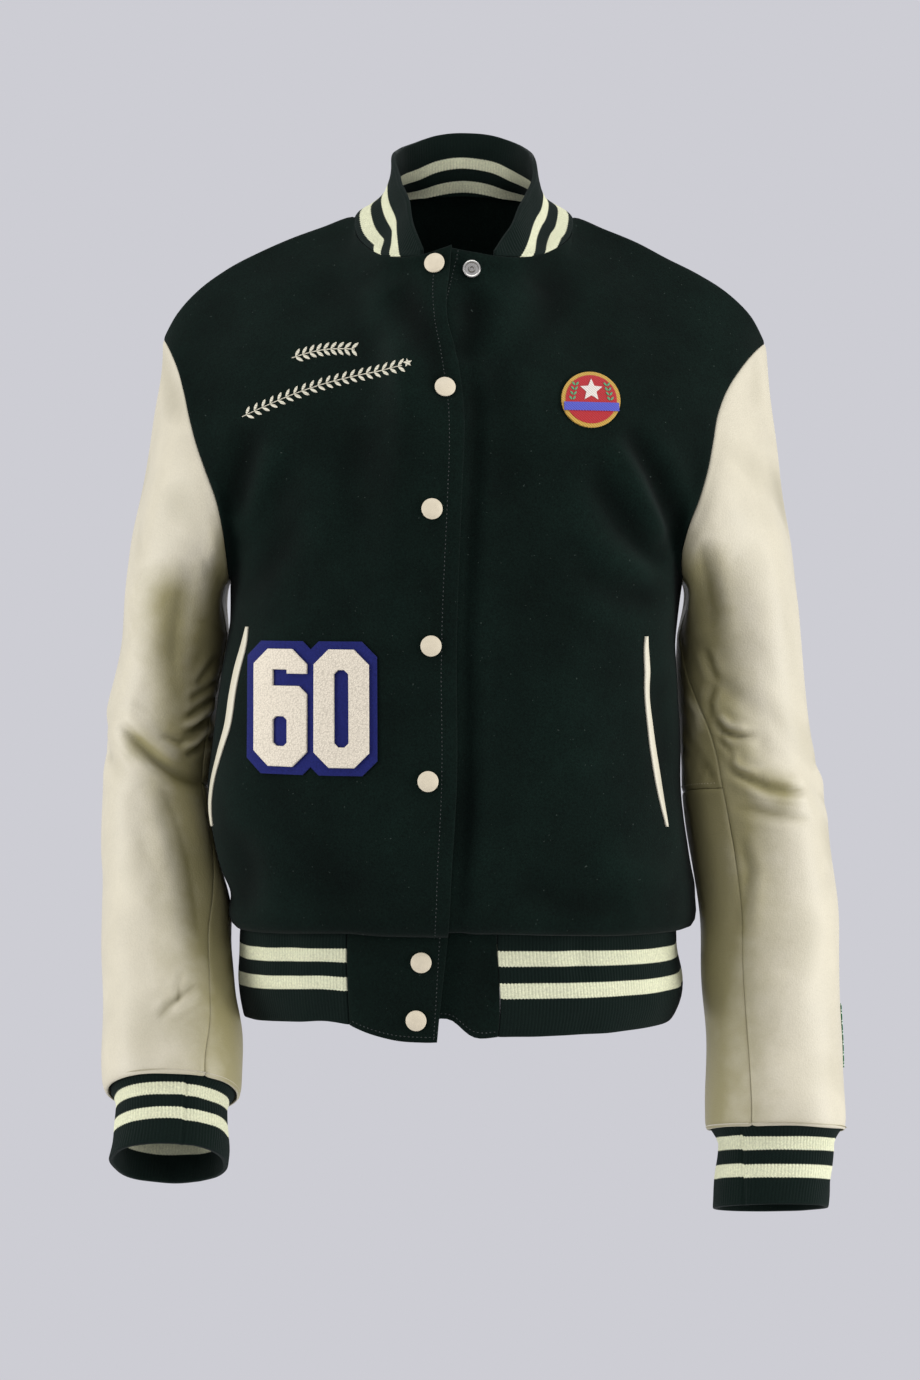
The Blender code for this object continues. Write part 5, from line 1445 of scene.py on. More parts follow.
def dress(piece, creases, settings):
    """Makes the fine cloth that stands for one coarse piece of the jacket."""
    name, grid, closed, finish = (piece[key] for key in ("name", "grid", "closed", "finish"))
    cloth = CLOTHS[finish]
    row_keys = keys_along(grid[:, grid.shape[1] // 2], cloth.cell)
    middle = grid[len(grid) // 2]
    column_keys = keys_along(middle, cloth.cell)
    if finish == "rib":
        column_keys = ribbed_keys(middle, settings.rib_pitch)
    base = resample(grid, row_keys, column_keys, closed)
    out = resample(piece["normal"], row_keys, column_keys, closed)
    push = np.zeros(base.shape[:2])
    if piece["large"] is not None:
        push += LARGE_SHARE * piece["large"](base, column_keys)
    if group_of(piece) in ("body", "hem"):
        base = raised_hem(base)
    edges = edge_distances(base)
    if name.startswith(("cuff", "sleeve")) and not name.endswith("under_upper"):
        base, out = flared(piece, base, out, edges)
    facing = unit(out)
    worked = crease_push(base, facing, creases, finish == "leather")
    worked += unevenness(base, cloth.swell, cloth.swell_depth, len(name))
    worked *= settings.crease_depth
    drop, groove, fade = np.zeros_like(push), np.zeros_like(push), np.ones_like(push)
    for distance, sewn in zip(edges[:2] if closed else edges, SEWN[name]):
        drop = np.maximum(drop, rim_drop(distance))
        if sewn:
            groove += SEAM_DIP * soft(distance, SEAM_REACH)
            fade *= 1 - SEAM_HOLD * soft(distance, SEAM_HOLD_REACH)
    push += worked * fade - groove
    if name in BLOUSED:
        push += BLOUSE * soft(edges[1] - BLOUSE_ABOVE, BLOUSE_REACH)
        push -= BLOUSE_TUCK * soft(edges[1], BLOUSE_REACH / 3)
    relief = 0.0
    if finish == "rib":
        u, v = knit_map(name, push.shape, edges, settings.rib_pitch)
        if closed:
            past = base[..., 0] - CUFF_JOINS[name]
            in_front = facing[..., 1] < 0
            push -= np.where(in_front, JOIN_DEPTH * soft(past, JOIN_REACH), 0)
            v = v + CUFF_STRIPE_FALL + np.where(in_front & (past > 0), JOIN_STEP, 0)
        wave = -0.5 * np.cos(2 * math.pi * np.arange(len(column_keys)) / RIB_SAMPLES)
        relief = settings.rib_relief * wave * np.clip(np.minimum(edges[0], edges[1]) / RIB_FADE, 0, 1)
    else:
        u, v = np.broadcast_to(lengths(base[len(base) // 2]), push.shape), edges[0]
    face = cloth.lift + push
    outer = fine_inset(base + out * (face - drop + relief)[..., None], closed)
    inner = fine_inset(base + out * (face - cloth.thick + drop + relief * INNER_RELIEF)[..., None], closed)
    mesh = skin(name, outer, inner, closed, piece["flip"], np.stack([u, v], axis=2))
    # The depth of the creases, from which the wool and the leather paint shade in their folds
    paint(mesh, "hollow", worked[:, :-1] if closed else worked)
    # Painted shade on the sleeves' inner sides, where the body shades them
    if finish == "leather":
        paint(mesh, "rubbed", sleeve_shade_amount(base, facing))
    piece["outer"] = outer
    return mesh


def fine_inset(grid, closed):
    """Draws a fine wall's edges back by half the gap of a seam."""
    result = grid.copy()
    for edge, inside in ((0, 2), (-1, -3)):
        result[edge] += square_on(grid[edge], grid[inside], closed) * SEAM_GAP / 2
        if not closed:
            result[:, edge] += square_on(grid[:, edge], grid[:, inside], False) * SEAM_GAP / 2
    return result


# ---- finishes ----

# How two colours are mixed: each is a setting of a Mix node, whose colours are inputs 6 and 7
MIX, MULTIPLY, ADD = (dict(out=2, data_type="RGBA", blend_type=how) for how in ("MIX", "MULTIPLY", "ADD"))


def linear(colour):
    """A colour as the shaders want it, from its sRGB hex value or from a picked colour."""
    if not isinstance(colour, str):
        return tuple(colour) + (1.0,)
    values = [int(colour[at : at + 2], 16) / 255 for at in (0, 2, 4)]
    return tuple(v / 12.92 if v <= 0.04045 else ((v + 0.055) / 1.055) ** 2.4 for v in values) + (1.0,)


def node(tree, kind, inputs=(), out=0, stops=(), stepped=False, **settings):
    """Adds a shader node, and gives back one of its outputs.

    The inputs are values or links, by name or in order; the stops are the colours of a ramp.
    """
    made = tree.nodes.new("ShaderNode" + kind)
    for name, value in settings.items():
        setattr(made, name, value)
    for name, value in inputs.items() if isinstance(inputs, dict) else enumerate(inputs):
        if isinstance(value, bpy.types.NodeSocket):
            tree.links.new(value, made.inputs[name])
        else:
            made.inputs[name].default_value = value
    if stops:
        elements = made.color_ramp.elements
        made.color_ramp.interpolation = "CONSTANT" if stepped else "LINEAR"
        for _ in stops[2:]:
            elements.new(0.5)
        for element, (position, colour) in zip(elements, stops):
            element.position = position
            element.color = colour
    return made.outputs[out]


def finish_named(name, **plain):
    """A material with the values that are the same all over, its own node(), and its places."""
    made = bpy.data.materials.new(name)
    made.use_nodes = True
    shader = made.node_tree.nodes["Principled BSDF"]
    for socket, value in plain.items():
        shader.inputs[socket.replace("_", " ")].default_value = value
    add = partial(node, made.node_tree)
    return made, add, add("TexCoord", out="Object")


def surfaced(made, colour, height, distance, strength, roughness=None):
    """Gives a material its colour, its relief of this depth in metres, and its roughness."""
    tree = made.node_tree
    shader = tree.nodes["Principled BSDF"]
    bump = node(tree, "Bump", {"Height": height, "Distance": distance, "Strength": strength})
    for name, value in (("Base Color", colour), ("Normal", bump), ("Roughness", roughness)):
        if value is not None:
            tree.links.new(value, shader.inputs[name])
    return made


def grey(value):
    return (value, value, value, 1.0)


def tinted(colour, factor):
    """A colour made lighter or darker."""
    return tuple(min(1.0, value * factor) for value in colour[:3]) + (1.0,)


def patches(place, scale, detail=3.0, roughness=0.6):
    """Inputs of a noise whose patches are about 1 / scale metres across."""
    return {"Vector": place, "Scale": scale, "Detail": detail, "Roughness": roughness}


def melton_wool(colour):
    """Melton: woven wool, fulled and brushed until its nap hides the weave.

    The nap scatters light, so the cloth is matt, with small mottling where fibres lie in
    different directions, broad soft clouds, and a faint bloom where it turns away.
    """
    base = linear(colour)
    plain = dict(Roughness=0.96, Specular_IOR_Level=0.06, Sheen_Weight=0.025, Sheen_Roughness=0.5)
    made, add, place = finish_named("Melton wool", **plain)
    # Tufts of 1.4 mm, as fine as the render shows, clouds of nap 30 mm across, stray lint
    tuft = add("TexNoise", patches(place, 700.0, 3.0, 0.75))
    cloud = add("TexNoise", patches(place, 33.0))
    lint = add("TexNoise", patches(place, 420.0, 1.0))
    shade = add("ValToRGB", [tuft], stops=[(0.30, tinted(base, 0.60)), (0.72, tinted(base, 1.60))])
    drift = add("ValToRGB", [cloud], stops=[(0.32, grey(0.84)), (0.70, grey(1.18))])
    lint_stops = [(0.765, grey(0.0)), (0.80, tinted(linear("8C9A90"), 0.10))]
    fleck = add("ValToRGB", [lint], stops=lint_stops)
    # Painted shade in each fold and a painted highlight on each crest, from the depth of the creases
    worked = add("Attribute", out="Fac", attribute_name="hollow")
    in_fold = add("MapRange", [worked, -0.0040, 0.0030, 0.0, 1.0])
    fold_stops = [(0.0, grey(0.52)), (0.57, grey(1.0)), (1.0, grey(1.30))]
    fold_light_painted = add("ValToRGB", [in_fold], stops=fold_stops)
    clouded = add("Mix", {0: 1.0, 6: shade, 7: drift}, **MULTIPLY)
    cloth = add("Mix", {0: 1.0, 6: clouded, 7: fold_light_painted}, **MULTIPLY)
    return surfaced(made, add("Mix", {0: 1.0, 6: cloth, 7: fleck}, **ADD), tuft, 0.0005, 0.6)


def cowhide(name, colour, shadow, roughness=0.50):
    """Smooth-grain cowhide with a pigmented finish: small soft pebbles and fine crease lines.

    The finish is satin, so broad highlights stay soft; the hollows of worked creases get
    painted shade, and the tops of creases are paler.
    """
    base, painted_shade_tone = linear(colour), linear(shadow)
    made, add, place = finish_named(name, Specular_IOR_Level=0.42, Coat_Weight=0.06, Coat_Roughness=0.45)
    # Pebbles 1.3 mm across, pores 0.5 mm, patches of tanning 45 mm
    pebble = add("TexVoronoi", {"Vector": place, "Scale": 760.0, "Randomness": 0.9})
    pore = add("TexNoise", patches(place, 1900.0, 2.0))
    patch = add("TexNoise", patches(place, 22.0, 4.0))
    tan = add("ValToRGB", [patch], stops=[(0.30, tinted(base, 0.93)), (0.70, tinted(base, 1.04))])
    # From the depth of the creases: painted shade in their hollows, and paler crests
    worked = add("Attribute", out="Fac", attribute_name="hollow")
    hollow = add("MapRange", [worked, -0.0002, -0.0032, 0.0, 0.70])
    crest = add("MapRange", [worked, 0.0004, 0.0026, 0.0, 0.30])
    # Painted shade where the leather faces the body, in uneven blotches 20 mm across
    facing_body_shade = add("Attribute", out="Fac", attribute_name="rubbed")
    blotch = add("TexNoise", patches(place, 50.0, 2.0))
    blotch = add("Math", [blotch, 0.5], operation="SUBTRACT")
    blotch = add("Math", [blotch, 0.45], operation="MULTIPLY")
    painted_shade_share = add("Math", [facing_body_shade, blotch], operation="ADD")
    painted_shade_share = add("MapRange", [painted_shade_share, 0.10, 0.95, 0.0, 0.84])
    painted_shade_share = add("Mix", {0: painted_shade_share, 6: tan, 7: painted_shade_tone}, **MIX)
    # Painted shade in the hollows of the creases, then the crests made paler over it
    crease_shaded = add("Mix", {0: hollow, 6: painted_shade_share, 7: tinted(painted_shade_tone, 0.6)}, **MIX)
    worn = add("Mix", {0: crest, 6: crease_shaded, 7: tinted(base, 1.10)}, **MIX)
    grain = add("ValToRGB", [pebble], stops=[(0.0, grey(1.0)), (0.75, grey(0.93))])
    grained = add("Mix", {0: 1.0, 6: worn, 7: grain}, **MULTIPLY)
    height = add("Math", [pore, 0.35], operation="MULTIPLY")
    height = add("Math", [height, pebble], operation="SUBTRACT")
    uneven = add("MapRange", [patch, 0.25, 0.75, roughness - 0.06, roughness + 0.08])
    return surfaced(made, grained, height, 0.00022, 0.6, uneven)


def striped_knit(colour, stripe):
    """Acrylic rib knit in two colours: raised ribs of small chevron stitches.

    Each rib is a row of stitches, so the colour changes in steps, and the yarn between the
    ribs is in shadow; the yarn is matt with a slight bloom.
    """
    plain = dict(Roughness=0.95, Specular_IOR_Level=0.08, Sheen_Weight=0.04, Sheen_Roughness=0.5)
    made, add, place = finish_named("Striped rib knit", **plain)
    dark, pale = linear(colour), linear(stripe)
    across = add("SeparateXYZ", [add("UVMap", uv_map="Cloth")])
    up = across.node.outputs["Y"]
    # How far a place is from the middle of its rib, as a share of the rib
    ribs = add("Math", [across, RIB_PITCH], operation="DIVIDE")
    in_rib = add("Math", [ribs], operation="FRACT")
    in_rib = add("Math", [in_rib, 0.5], operation="SUBTRACT")
    from_middle = add("Math", [in_rib], operation="ABSOLUTE")
    # Chevron stitches, one each 1.3 mm along the rib
    stitches_up = add("Math", [up, 0.0013], operation="DIVIDE")
    slant = add("Math", [from_middle, 1.6], operation="MULTIPLY")
    chevron = add("Math", [stitches_up, slant], operation="ADD")
    chevron = add("Math", [chevron], operation="FRACT")
    stitch = add("Math", [chevron, 0.5], operation="SUBTRACT")
    stitch = add("Math", [stitch], operation="ABSOLUTE")
    # The edge of a stripe steps with the stitches
    step = add("Math", [from_middle, 0.25], operation="SUBTRACT")
    step = add("Math", [step, 0.0016], operation="MULTIPLY")
    share = add("Math", [up, step], operation="ADD")
    share = add("Math", [share, RIB_WIDTH], operation="DIVIDE")
    stops = [(0.0, dark)]
    for start, end in RIB_STRIPES:
        stops += [(start / RIB_WIDTH, pale), (end / RIB_WIDTH, dark)]
    yarn = add("ValToRGB", [share], stops=stops, stepped=True)
    groove = add("ValToRGB", [from_middle], stops=[(0.20, grey(1.0)), (0.46, grey(0.88))])
    fuzz = add("TexNoise", patches(place, 900.0))
    mottled = add("ValToRGB", [fuzz], stops=[(0.30, grey(0.78)), (0.72, grey(1.20))])
    shaded = add("Mix", {0: 1.0, 6: yarn, 7: groove}, **MULTIPLY)
    knitted = add("Mix", {0: 1.0, 6: shaded, 7: mottled}, **MULTIPLY)
    raised = add("Math", [stitch, 0.8], operation="MULTIPLY")
    fluffy = add("Math", [fuzz, 0.5], operation="MULTIPLY")
    return surfaced(made, knitted, add("Math", [raised, fluffy], operation="ADD"), 0.0005, 0.8)


def wool_felt(colour):
    """Pressed wool felt, die-cut: no weave, a cloudy surface of matted fibres."""
    base = linear(colour)
    plain = dict(Roughness=0.95, Specular_IOR_Level=0.10, Sheen_Weight=0.06)
    made, add, place = finish_named("Pressed felt", **plain)
    fibre = add("TexNoise", patches(place, 800.0, 4.0, 0.7))
    shade = add("ValToRGB", [fibre], stops=[(0.28, tinted(base, 0.72)), (0.72, tinted(base, 1.35))])
    return surfaced(made, shade, fibre, 0.0004, 0.5)


def loop_chenille(colour):
    """Chenille: short loops of soft yarn stitched close together, sheared nearly level."""
    base = linear(colour)
    plain = dict(Roughness=0.96, Specular_IOR_Level=0.10, Sheen_Weight=0.20)
    made, add, place = finish_named("Loop chenille", **plain)
    # Loops 1.4 mm across
    loops = add("TexVoronoi", {"Vector": place, "Scale": 700.0, "Randomness": 0.85})
    fibre = add("TexNoise", patches(place, 2200.0))
    # Painted shade between the loops: each loop is paler in its middle and darker at its edge
    shade = add("ValToRGB", [loops], stops=[(0.10, tinted(base, 1.04)), (0.85, tinted(base, 0.74))])
    tint = add("ValToRGB", [fibre], stops=[(0.30, grey(0.94)), (0.70, grey(1.04))])
    yarn = add("Mix", {0: 1.0, 6: shade, 7: tint}, **MULTIPLY)
    height = add("Math", [fibre, 0.2], operation="MULTIPLY")
    height = add("Math", [height, loops], operation="SUBTRACT")
    return surfaced(made, yarn, height, 0.0006, 0.8)


def satin_thread(name, colour):
    """Rayon embroidery thread laid side by side, with a painted sheen along each 0.5 mm thread."""
    base = linear(colour)
    made, add, place = finish_named(name, Roughness=0.42, Specular_IOR_Level=0.45, Sheen_Weight=0.10)
    # Threads drawn 0.7 mm apart, coarser than real ones, so that they show
    lay = {"Vector": place, "Scale": 230.0, "Distortion": 1.2, "Detail": 1.0}
    strand = add("TexWave", lay, out="Fac", bands_direction="DIAGONAL")
    # Painted sheen: each thread is paler along its middle and darker at its edges
    shade = add("ValToRGB", [strand], stops=[(0.1, tinted(base, 0.72)), (0.7, tinted(base, 1.12))])
    return surfaced(made, shade, strand, 0.0003, 0.6)


def enamelled_brass(colour):
    """Snap cap: domed brass under baked enamel, glossy, very slightly orange-peeled."""
    base = linear(colour)
    made, add, place = finish_named("Ivory enamel", Roughness=0.50, Coat_Weight=0.05, Coat_Roughness=0.30)
    haze = add("TexNoise", patches(place, 260.0, 2.0))
    shade = add("ValToRGB", [haze], stops=[(0.3, tinted(base, 0.96)), (0.7, tinted(base, 1.03))])
    return surfaced(made, shade, haze, 0.00005, 0.4)


def nickel_plate():
    """Snap stud: stamped brass, nickel plated and tumbled, with faint turning marks."""
    made, add, place = finish_named("Nickel plate", Metallic=1.0)
    scuff = add("TexNoise", patches(place, 1500.0, 4.0))
    shade = add("ValToRGB", [scuff], stops=[(0.3, linear("B2B0AA")), (0.7, linear("C6C4BE"))])
    uneven = add("MapRange", [scuff, 0.3, 0.7, 0.22, 0.38])
    return surfaced(made, shade, scuff, 0.00003, 0.5, uneven)


def woven_label(colour, figure):
    """Damask woven label: fine satin ground with a small figured zigzag, all in yarn."""
    ground, light = linear(colour), linear(figure)
    plain = dict(Roughness=0.62, Specular_IOR_Level=0.3, Sheen_Weight=0.1)
    made, add, place = finish_named("Woven label", **plain)
    down = add("SeparateXYZ", [place], out="Z")
    # Zigzag 8 mm along and 5 mm high, weft threads drawn every 0.8 mm
    run = add("Math", [down.node.outputs["Y"], 0.0050], operation="PINGPONG")
    level = add("Math", [down, run], operation="ADD")
    level = add("Math", [level, 0.0080], operation="DIVIDE")
    level = add("Math", [level], operation="FRACT")
    stops = [(0.0, ground), (0.30, light), (0.46, ground), (0.62, light), (0.70, ground)]
    drawn = add("ValToRGB", [level], stops=stops, stepped=True)
    weft = add("Math", [down, 0.0008], operation="DIVIDE")
    weft = add("Math", [weft], operation="FRACT")
    # Painted highlight and shade: each weft thread is paler in its middle and darker at its edges
    ridge_stops = [(0.0, grey(0.80)), (0.5, grey(1.1)), (1.0, grey(0.80))]
    ridge = add("ValToRGB", [weft], stops=ridge_stops)
    return surfaced(made, add("Mix", {0: 1.0, 6: drawn, 7: ridge}, **MULTIPLY), weft, 0.0002, 0.5)


def painted_floor():
    """Studio floor: matt pale grey paint, rolled, with a barely uneven sheen."""
    made, add, place = finish_named("Pale studio paint", Specular_IOR_Level=0.3)
    roll = add("TexNoise", patches(place, 60.0, 4.0))
    shade = add("ValToRGB", [roll], stops=[(0.3, linear("C6C6CC")), (0.7, linear("CCCCD2"))])
    uneven = add("MapRange", [roll, 0.3, 0.7, 0.55, 0.65])
    return surfaced(made, shade, roll, 0.0003, 0.3, uneven)


# ---- cloth pieces ----


def cloth_pieces():
    """The coarse pieces of the jacket, ready to be dressed."""
    if not JACKET:
        pieces = body_pieces() + sleeve_pieces("right") + sleeve_pieces("left")
        share_normals(pieces)
        JACKET.update({piece["name"]: piece for piece in pieces})
    return JACKET


def cut_of(grid):
    """The flat cut of a piece: its width, length and area in metres."""
    across = max(lengths(row)[-1] for row in grid)
    down = max(lengths(column)[-1] for column in grid.transpose(1, 0, 2))
    sides = np.cross(grid[1:, 1:] - grid[:-1, :-1], grid[1:, :-1] - grid[:-1, 1:])
    return across, down, float(np.linalg.norm(sides, axis=2).sum() / 2)


def place_cloth(names, finish, creases, settings):
    for name in names:
        piece = cloth_pieces()[name]
        made = carried(name + "_cloth", dress(piece, creases, settings), finish)
        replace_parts(made, name)
        piece["object"] = made
        width, length, area = cut_of(piece["grid"])


def tree_of(mesh):
    """A search tree of a mesh."""
    points = [vert.co.copy() for vert in mesh.vertices]
    return BVHTree.FromPolygons(points, [tuple(face.vertices) for face in mesh.polygons])


def cloth_tree(name):
    """A search tree of a piece's fine cloth."""
    return tree_of(JACKET[name]["object"].data)


# ---- sewing ----


def stitches(name, lines, pitch, finish):
    """Thread beads along lines on the cloth with their normals, one for each stitch."""
    points, faces = [], []
    ring = [(math.cos(t), math.sin(t)) for t in np.linspace(0, 2 * math.pi, THREAD_SIDES + 1)[:-1]]
    for line, normals in lines:
        along = lengths(line)
        for index in range(int(along[-1] / pitch)):
            at = (index + np.array((0.14, 0.5, 0.86))) * pitch
            spots = on_line(line, along, at)
            out = unit(on_line(normals, along, at[1]))
            side = np.cross(unit(spots[2] - spots[0]), out)
            start = len(points)
            for spot, swell, lift in zip(spots, (0.45, 1.0, 0.45), (-0.6, 0.35, -0.6)):
                middle = spot + out * (THREAD * lift - THREAD_SINK)
                points += [tuple(middle + (side * c + out * s * 0.8) * THREAD * swell) for c, s in ring]
            for layer in (0, THREAD_SIDES):
                for k in range(THREAD_SIDES):
                    a, b = start + layer + k, start + layer + (k + 1) % THREAD_SIDES
                    faces.append((a, b, b + THREAD_SIDES, a + THREAD_SIDES))
            faces.append(tuple(start + k for k in reversed(range(THREAD_SIDES))))
            faces.append(tuple(start + 2 * THREAD_SIDES + k for k in range(THREAD_SIDES)))
    mesh = bpy.data.meshes.new(name)
    mesh.from_pydata(points, [], faces)
    mesh.shade_smooth()
    return carried(name, mesh, finish)


def seam_line(name, edge, inset_by):
    """A line on a piece's outer face at a distance from one of its edges, and its normals."""
    outer = JACKET[name]["outer"]
    normal = cell_normals(outer, JACKET[name]["flip"])
    if edge in ("start", "end"):
        outer, normal = outer.transpose(1, 0, 2), normal.transpose(1, 0, 2)
    if edge in ("bottom", "end"):
        outer, normal = outer[::-1], normal[::-1]
    distance = np.cumsum(np.linalg.norm(np.diff(outer, axis=0), axis=2), axis=0).mean(axis=1)
    at = np.interp(inset_by, distance, np.arange(1, len(outer)))
    low = int(at)
    share = at - low
    line = outer[low] * (1 - share) + outer[low + 1] * share
    facing = normal[low] * (1 - share) + normal[low + 1] * share
    return line[3:-3], facing[3:-3]


def topstitching(settings):
    """The rows of topstitching that show on the body and on the sleeves."""
    wool_edges = [
        ("front_right", "start", 0.0115),
        ("front_left", "start", 0.0048),
        ("hem_tab_right", "start", 0.0048),
        ("hem_tab_right", "bottom", 0.0048),
        ("hem_tab_left", "end", 0.0048),
        ("hem_tab_left", "bottom", 0.0048),
    ]
    wool_lines = [seam_line(*edge) for edge in wool_edges]
    wool_thread = satin_thread("Dark sewing thread", "0A1410")
    stitches("body_topstitch", wool_lines, settings.stitch_pitch, wool_thread)
    leather_lines = [seam_line(f"sleeve_{side}_under_upper", "bottom", 0.0046) for side in ("right", "left")]
    leather_thread = satin_thread("Cream sewing thread", "B4AB8A")
    stitches("sleeve_topstitch", leather_lines, settings.stitch_pitch, leather_thread)


# ---- fittings and badges ----


def outline_mesh(name, outlines, thick, round_by):
    """A flat plate of these outlines with rounded rims."""
    data = bpy.data.curves.new(name, "CURVE")
    data.dimensions = "2D"
    data.fill_mode = "BOTH"
    data.extrude = thick / 2 - round_by
    data.bevel_depth = round_by
    data.bevel_resolution = 2
    data.offset = -round_by
    for outline in outlines:
        line = data.splines.new("POLY")
        line.points.add(len(outline) - 1)
        for point, (x, y) in zip(line.points, outline):
            point.co = (x, y, 0, 1)
        line.use_cyclic_u = True
    guide = bpy.data.objects.new(name + "_outline", data)
    bpy.context.scene.collection.objects.link(guide)
    bpy.context.view_layer.update()
    mesh = bpy.data.meshes.new_from_object(guide.evaluated_get(bpy.context.evaluated_depsgraph_get()))
    bpy.data.objects.remove(guide)
    return mesh


def cut_in_cells(work, cell):
    """Cuts a plate across both ways, so that it can bend."""
    for axis in (0, 1):
        low = min(vert.co[axis] for vert in work.verts)
        high = max(vert.co[axis] for vert in work.verts)
        cells = max(2, round((high - low) / cell))
        for cut in range(1, cells):
            normal, where = Vector(), Vector()
            normal[axis] = 1.0
            where[axis] = low + (high - low) * cut / cells
            everything = work.verts[:] + work.edges[:] + work.faces[:]
            bmesh.ops.bisect_plane(work, geom=everything, plane_co=where, plane_no=normal, dist=SAME_PLACE)
    bmesh.ops.triangulate(work, faces=[face for face in work.faces if len(face.verts) > 4])


def outline_plate(name, outlines, thick, cell, tree, centre, gap, round_by, right=ACROSS, toward=AHEAD):
    """A flat outline of this thickness with rounded rims, bent onto the cloth and moved out."""
    mesh = outline_mesh(name, outlines, thick, round_by)
    work = bmesh.new()
    work.from_mesh(mesh)
    bmesh.ops.remove_doubles(work, verts=work.verts, dist=SAME_PLACE)
    cut_in_cells(work, cell)
    bent = {}
    for vert in work.verts:
        key = (round(vert.co.x, 5), round(vert.co.y, 5))
        if key not in bent:
            start = centre + right * vert.co.x + UP * vert.co.y - toward
            hit = tree.ray_cast(start, toward)[0]
            steps = [way * PLATE_REACH for way in (right, UP, -right, -UP)]
            spread = [tree.ray_cast(start + step, toward)[1] for step in steps]
            facing = sum((-each if each.dot(toward) > 0 else each for each in spread if each), Vector())
            bent[key] = (hit, facing.normalized())
        hit, facing = bent[key]
        vert.co = hit + facing * (vert.co.z + thick / 2 + gap)
    if right.cross(UP).dot(toward) > 0:
        bmesh.ops.reverse_faces(work, faces=work.faces)
    work.to_mesh(mesh)
    work.free()
    mesh.name = name
    mesh.shade_smooth()
    mesh.set_sharp_from_angle(angle=math.radians(50))
    return mesh


def lathe(name, profile, location, normal):
    """A turned mesh from its profile of radius and height, with its axis along the normal."""
    turn = normal.to_track_quat("Z", "Y")
    around = 2 * math.pi * np.arange(TURNED_SIDES) / TURNED_SIDES
    points, faces = [], []
    for radius, height in profile:
        spots = [Vector((radius * math.cos(angle), radius * math.sin(angle), height)) for angle in around]
        points += [location + turn @ spot for spot in spots]
    for row in range(len(profile) - 1):
        for step in range(TURNED_SIDES):
            a, b = row * TURNED_SIDES + step, row * TURNED_SIDES + (step + 1) % TURNED_SIDES
            faces.append((a, b, b + TURNED_SIDES, a + TURNED_SIDES))
    last = (len(profile) - 1) * TURNED_SIDES
    faces += [tuple(range(TURNED_SIDES))[::-1], tuple(range(last, last + TURNED_SIDES))]
    mesh = bpy.data.meshes.new(name)
    mesh.from_pydata(points, [], faces)
    mesh.shade_smooth()
    mesh.set_sharp_from_angle(angle=math.radians(35))
    return mesh


def snaps(settings):
    """Seven enamelled snap caps on the right front and tab, and the open top snap's stud."""
    front, tab = cloth_tree("front_right"), cloth_tree("hem_tab_right")
    profile = [(radius * CAP_RADIUS, height * CAP_HEIGHT) for radius, height in CAP_PROFILE]
    finish = enamelled_brass(settings.cap_colour)
    for number, (x, z) in enumerate(zip(CAPS["x"], CAPS["z"]), 1):
        location, normal = seat(front if number <= CAPS_ON_FRONT else tab, x, z, CAP_RADIUS)
        mesh = lathe(f"snap_cap_{number}_enamel", profile, location, normal)
        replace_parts(carried(mesh.name, mesh, finish), f"snap_cap_{number}")
    profile = [(radius * STUD_RADIUS, height / 1000) for radius, height in STUD_PROFILE]
    location, normal = seat(cloth_tree("front_left"), *STUD, STUD_RADIUS)
    mesh = lathe("snap_stud_nickel", profile, location, normal)
    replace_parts(carried(mesh.name, mesh, nickel_plate()), "snap_stud")


def fine_welt(side):
    """A pocket welt's outer and inner faces, as a folded strip that swells along its middle."""
    tree = cloth_tree("front_" + side)
    columns = WELT[side]
    down = -columns["z"]
    outer, inner = [], []
    for z in np.linspace(columns["z"][0], columns["z"][-1], WELT_ROWS):
        angle = math.radians(spline(down, columns["angle"], -z)[0])
        half = max(spline(down, columns["width"], -z)[0] / 2, WELT_LEAST)
        toward = Vector((-math.sin(angle), math.cos(angle), 0))
        start = Vector((0, 0, z)) - toward * 0.6
        beside = Vector((math.cos(angle), math.sin(angle), 0)) * 0.005
        before, after = (tree.ray_cast(start + step, toward)[0] for step in (-beside, beside))
        across = (after - before).normalized()
        normal = across.cross(UP)
        if normal.dot(toward) > 0:
            normal = -normal
        row_outer, row_inner = [], []
        for share in np.linspace(-1, 1, WELT_COLUMNS):
            hit = tree.ray_cast(start + across * half * share, toward)[0]
            crown = 1 - abs(share) ** 3
            row_inner.append(hit + normal * WELT_GAP)
            row_outer.append(hit + normal * (WELT_FOOT + WELT_THICK * (0.35 + 0.65 * crown)))
        outer.append(row_outer)
        inner.append(row_inner)
    return np.array(outer), np.array(inner)


def pocket_welts(settings):
    """The two leather welts of the hand pockets."""
    finish = cowhide("Welt cowhide", settings.welt_colour, "9C9474", 0.46)
    for side in ("right", "left"):
        outer, inner = fine_welt(side)
        name = f"pocket_welt_{side}_leather"
        mesh = skin(name, outer, inner, False, True, np.zeros(outer.shape[:2] + (2,)))
        paint(mesh, "hollow", np.zeros(outer.shape[:2]))
        made = carried(name, mesh, finish)
        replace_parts(made, f"pocket_welt_{side}")
        _, length, area = cut_of(outer)


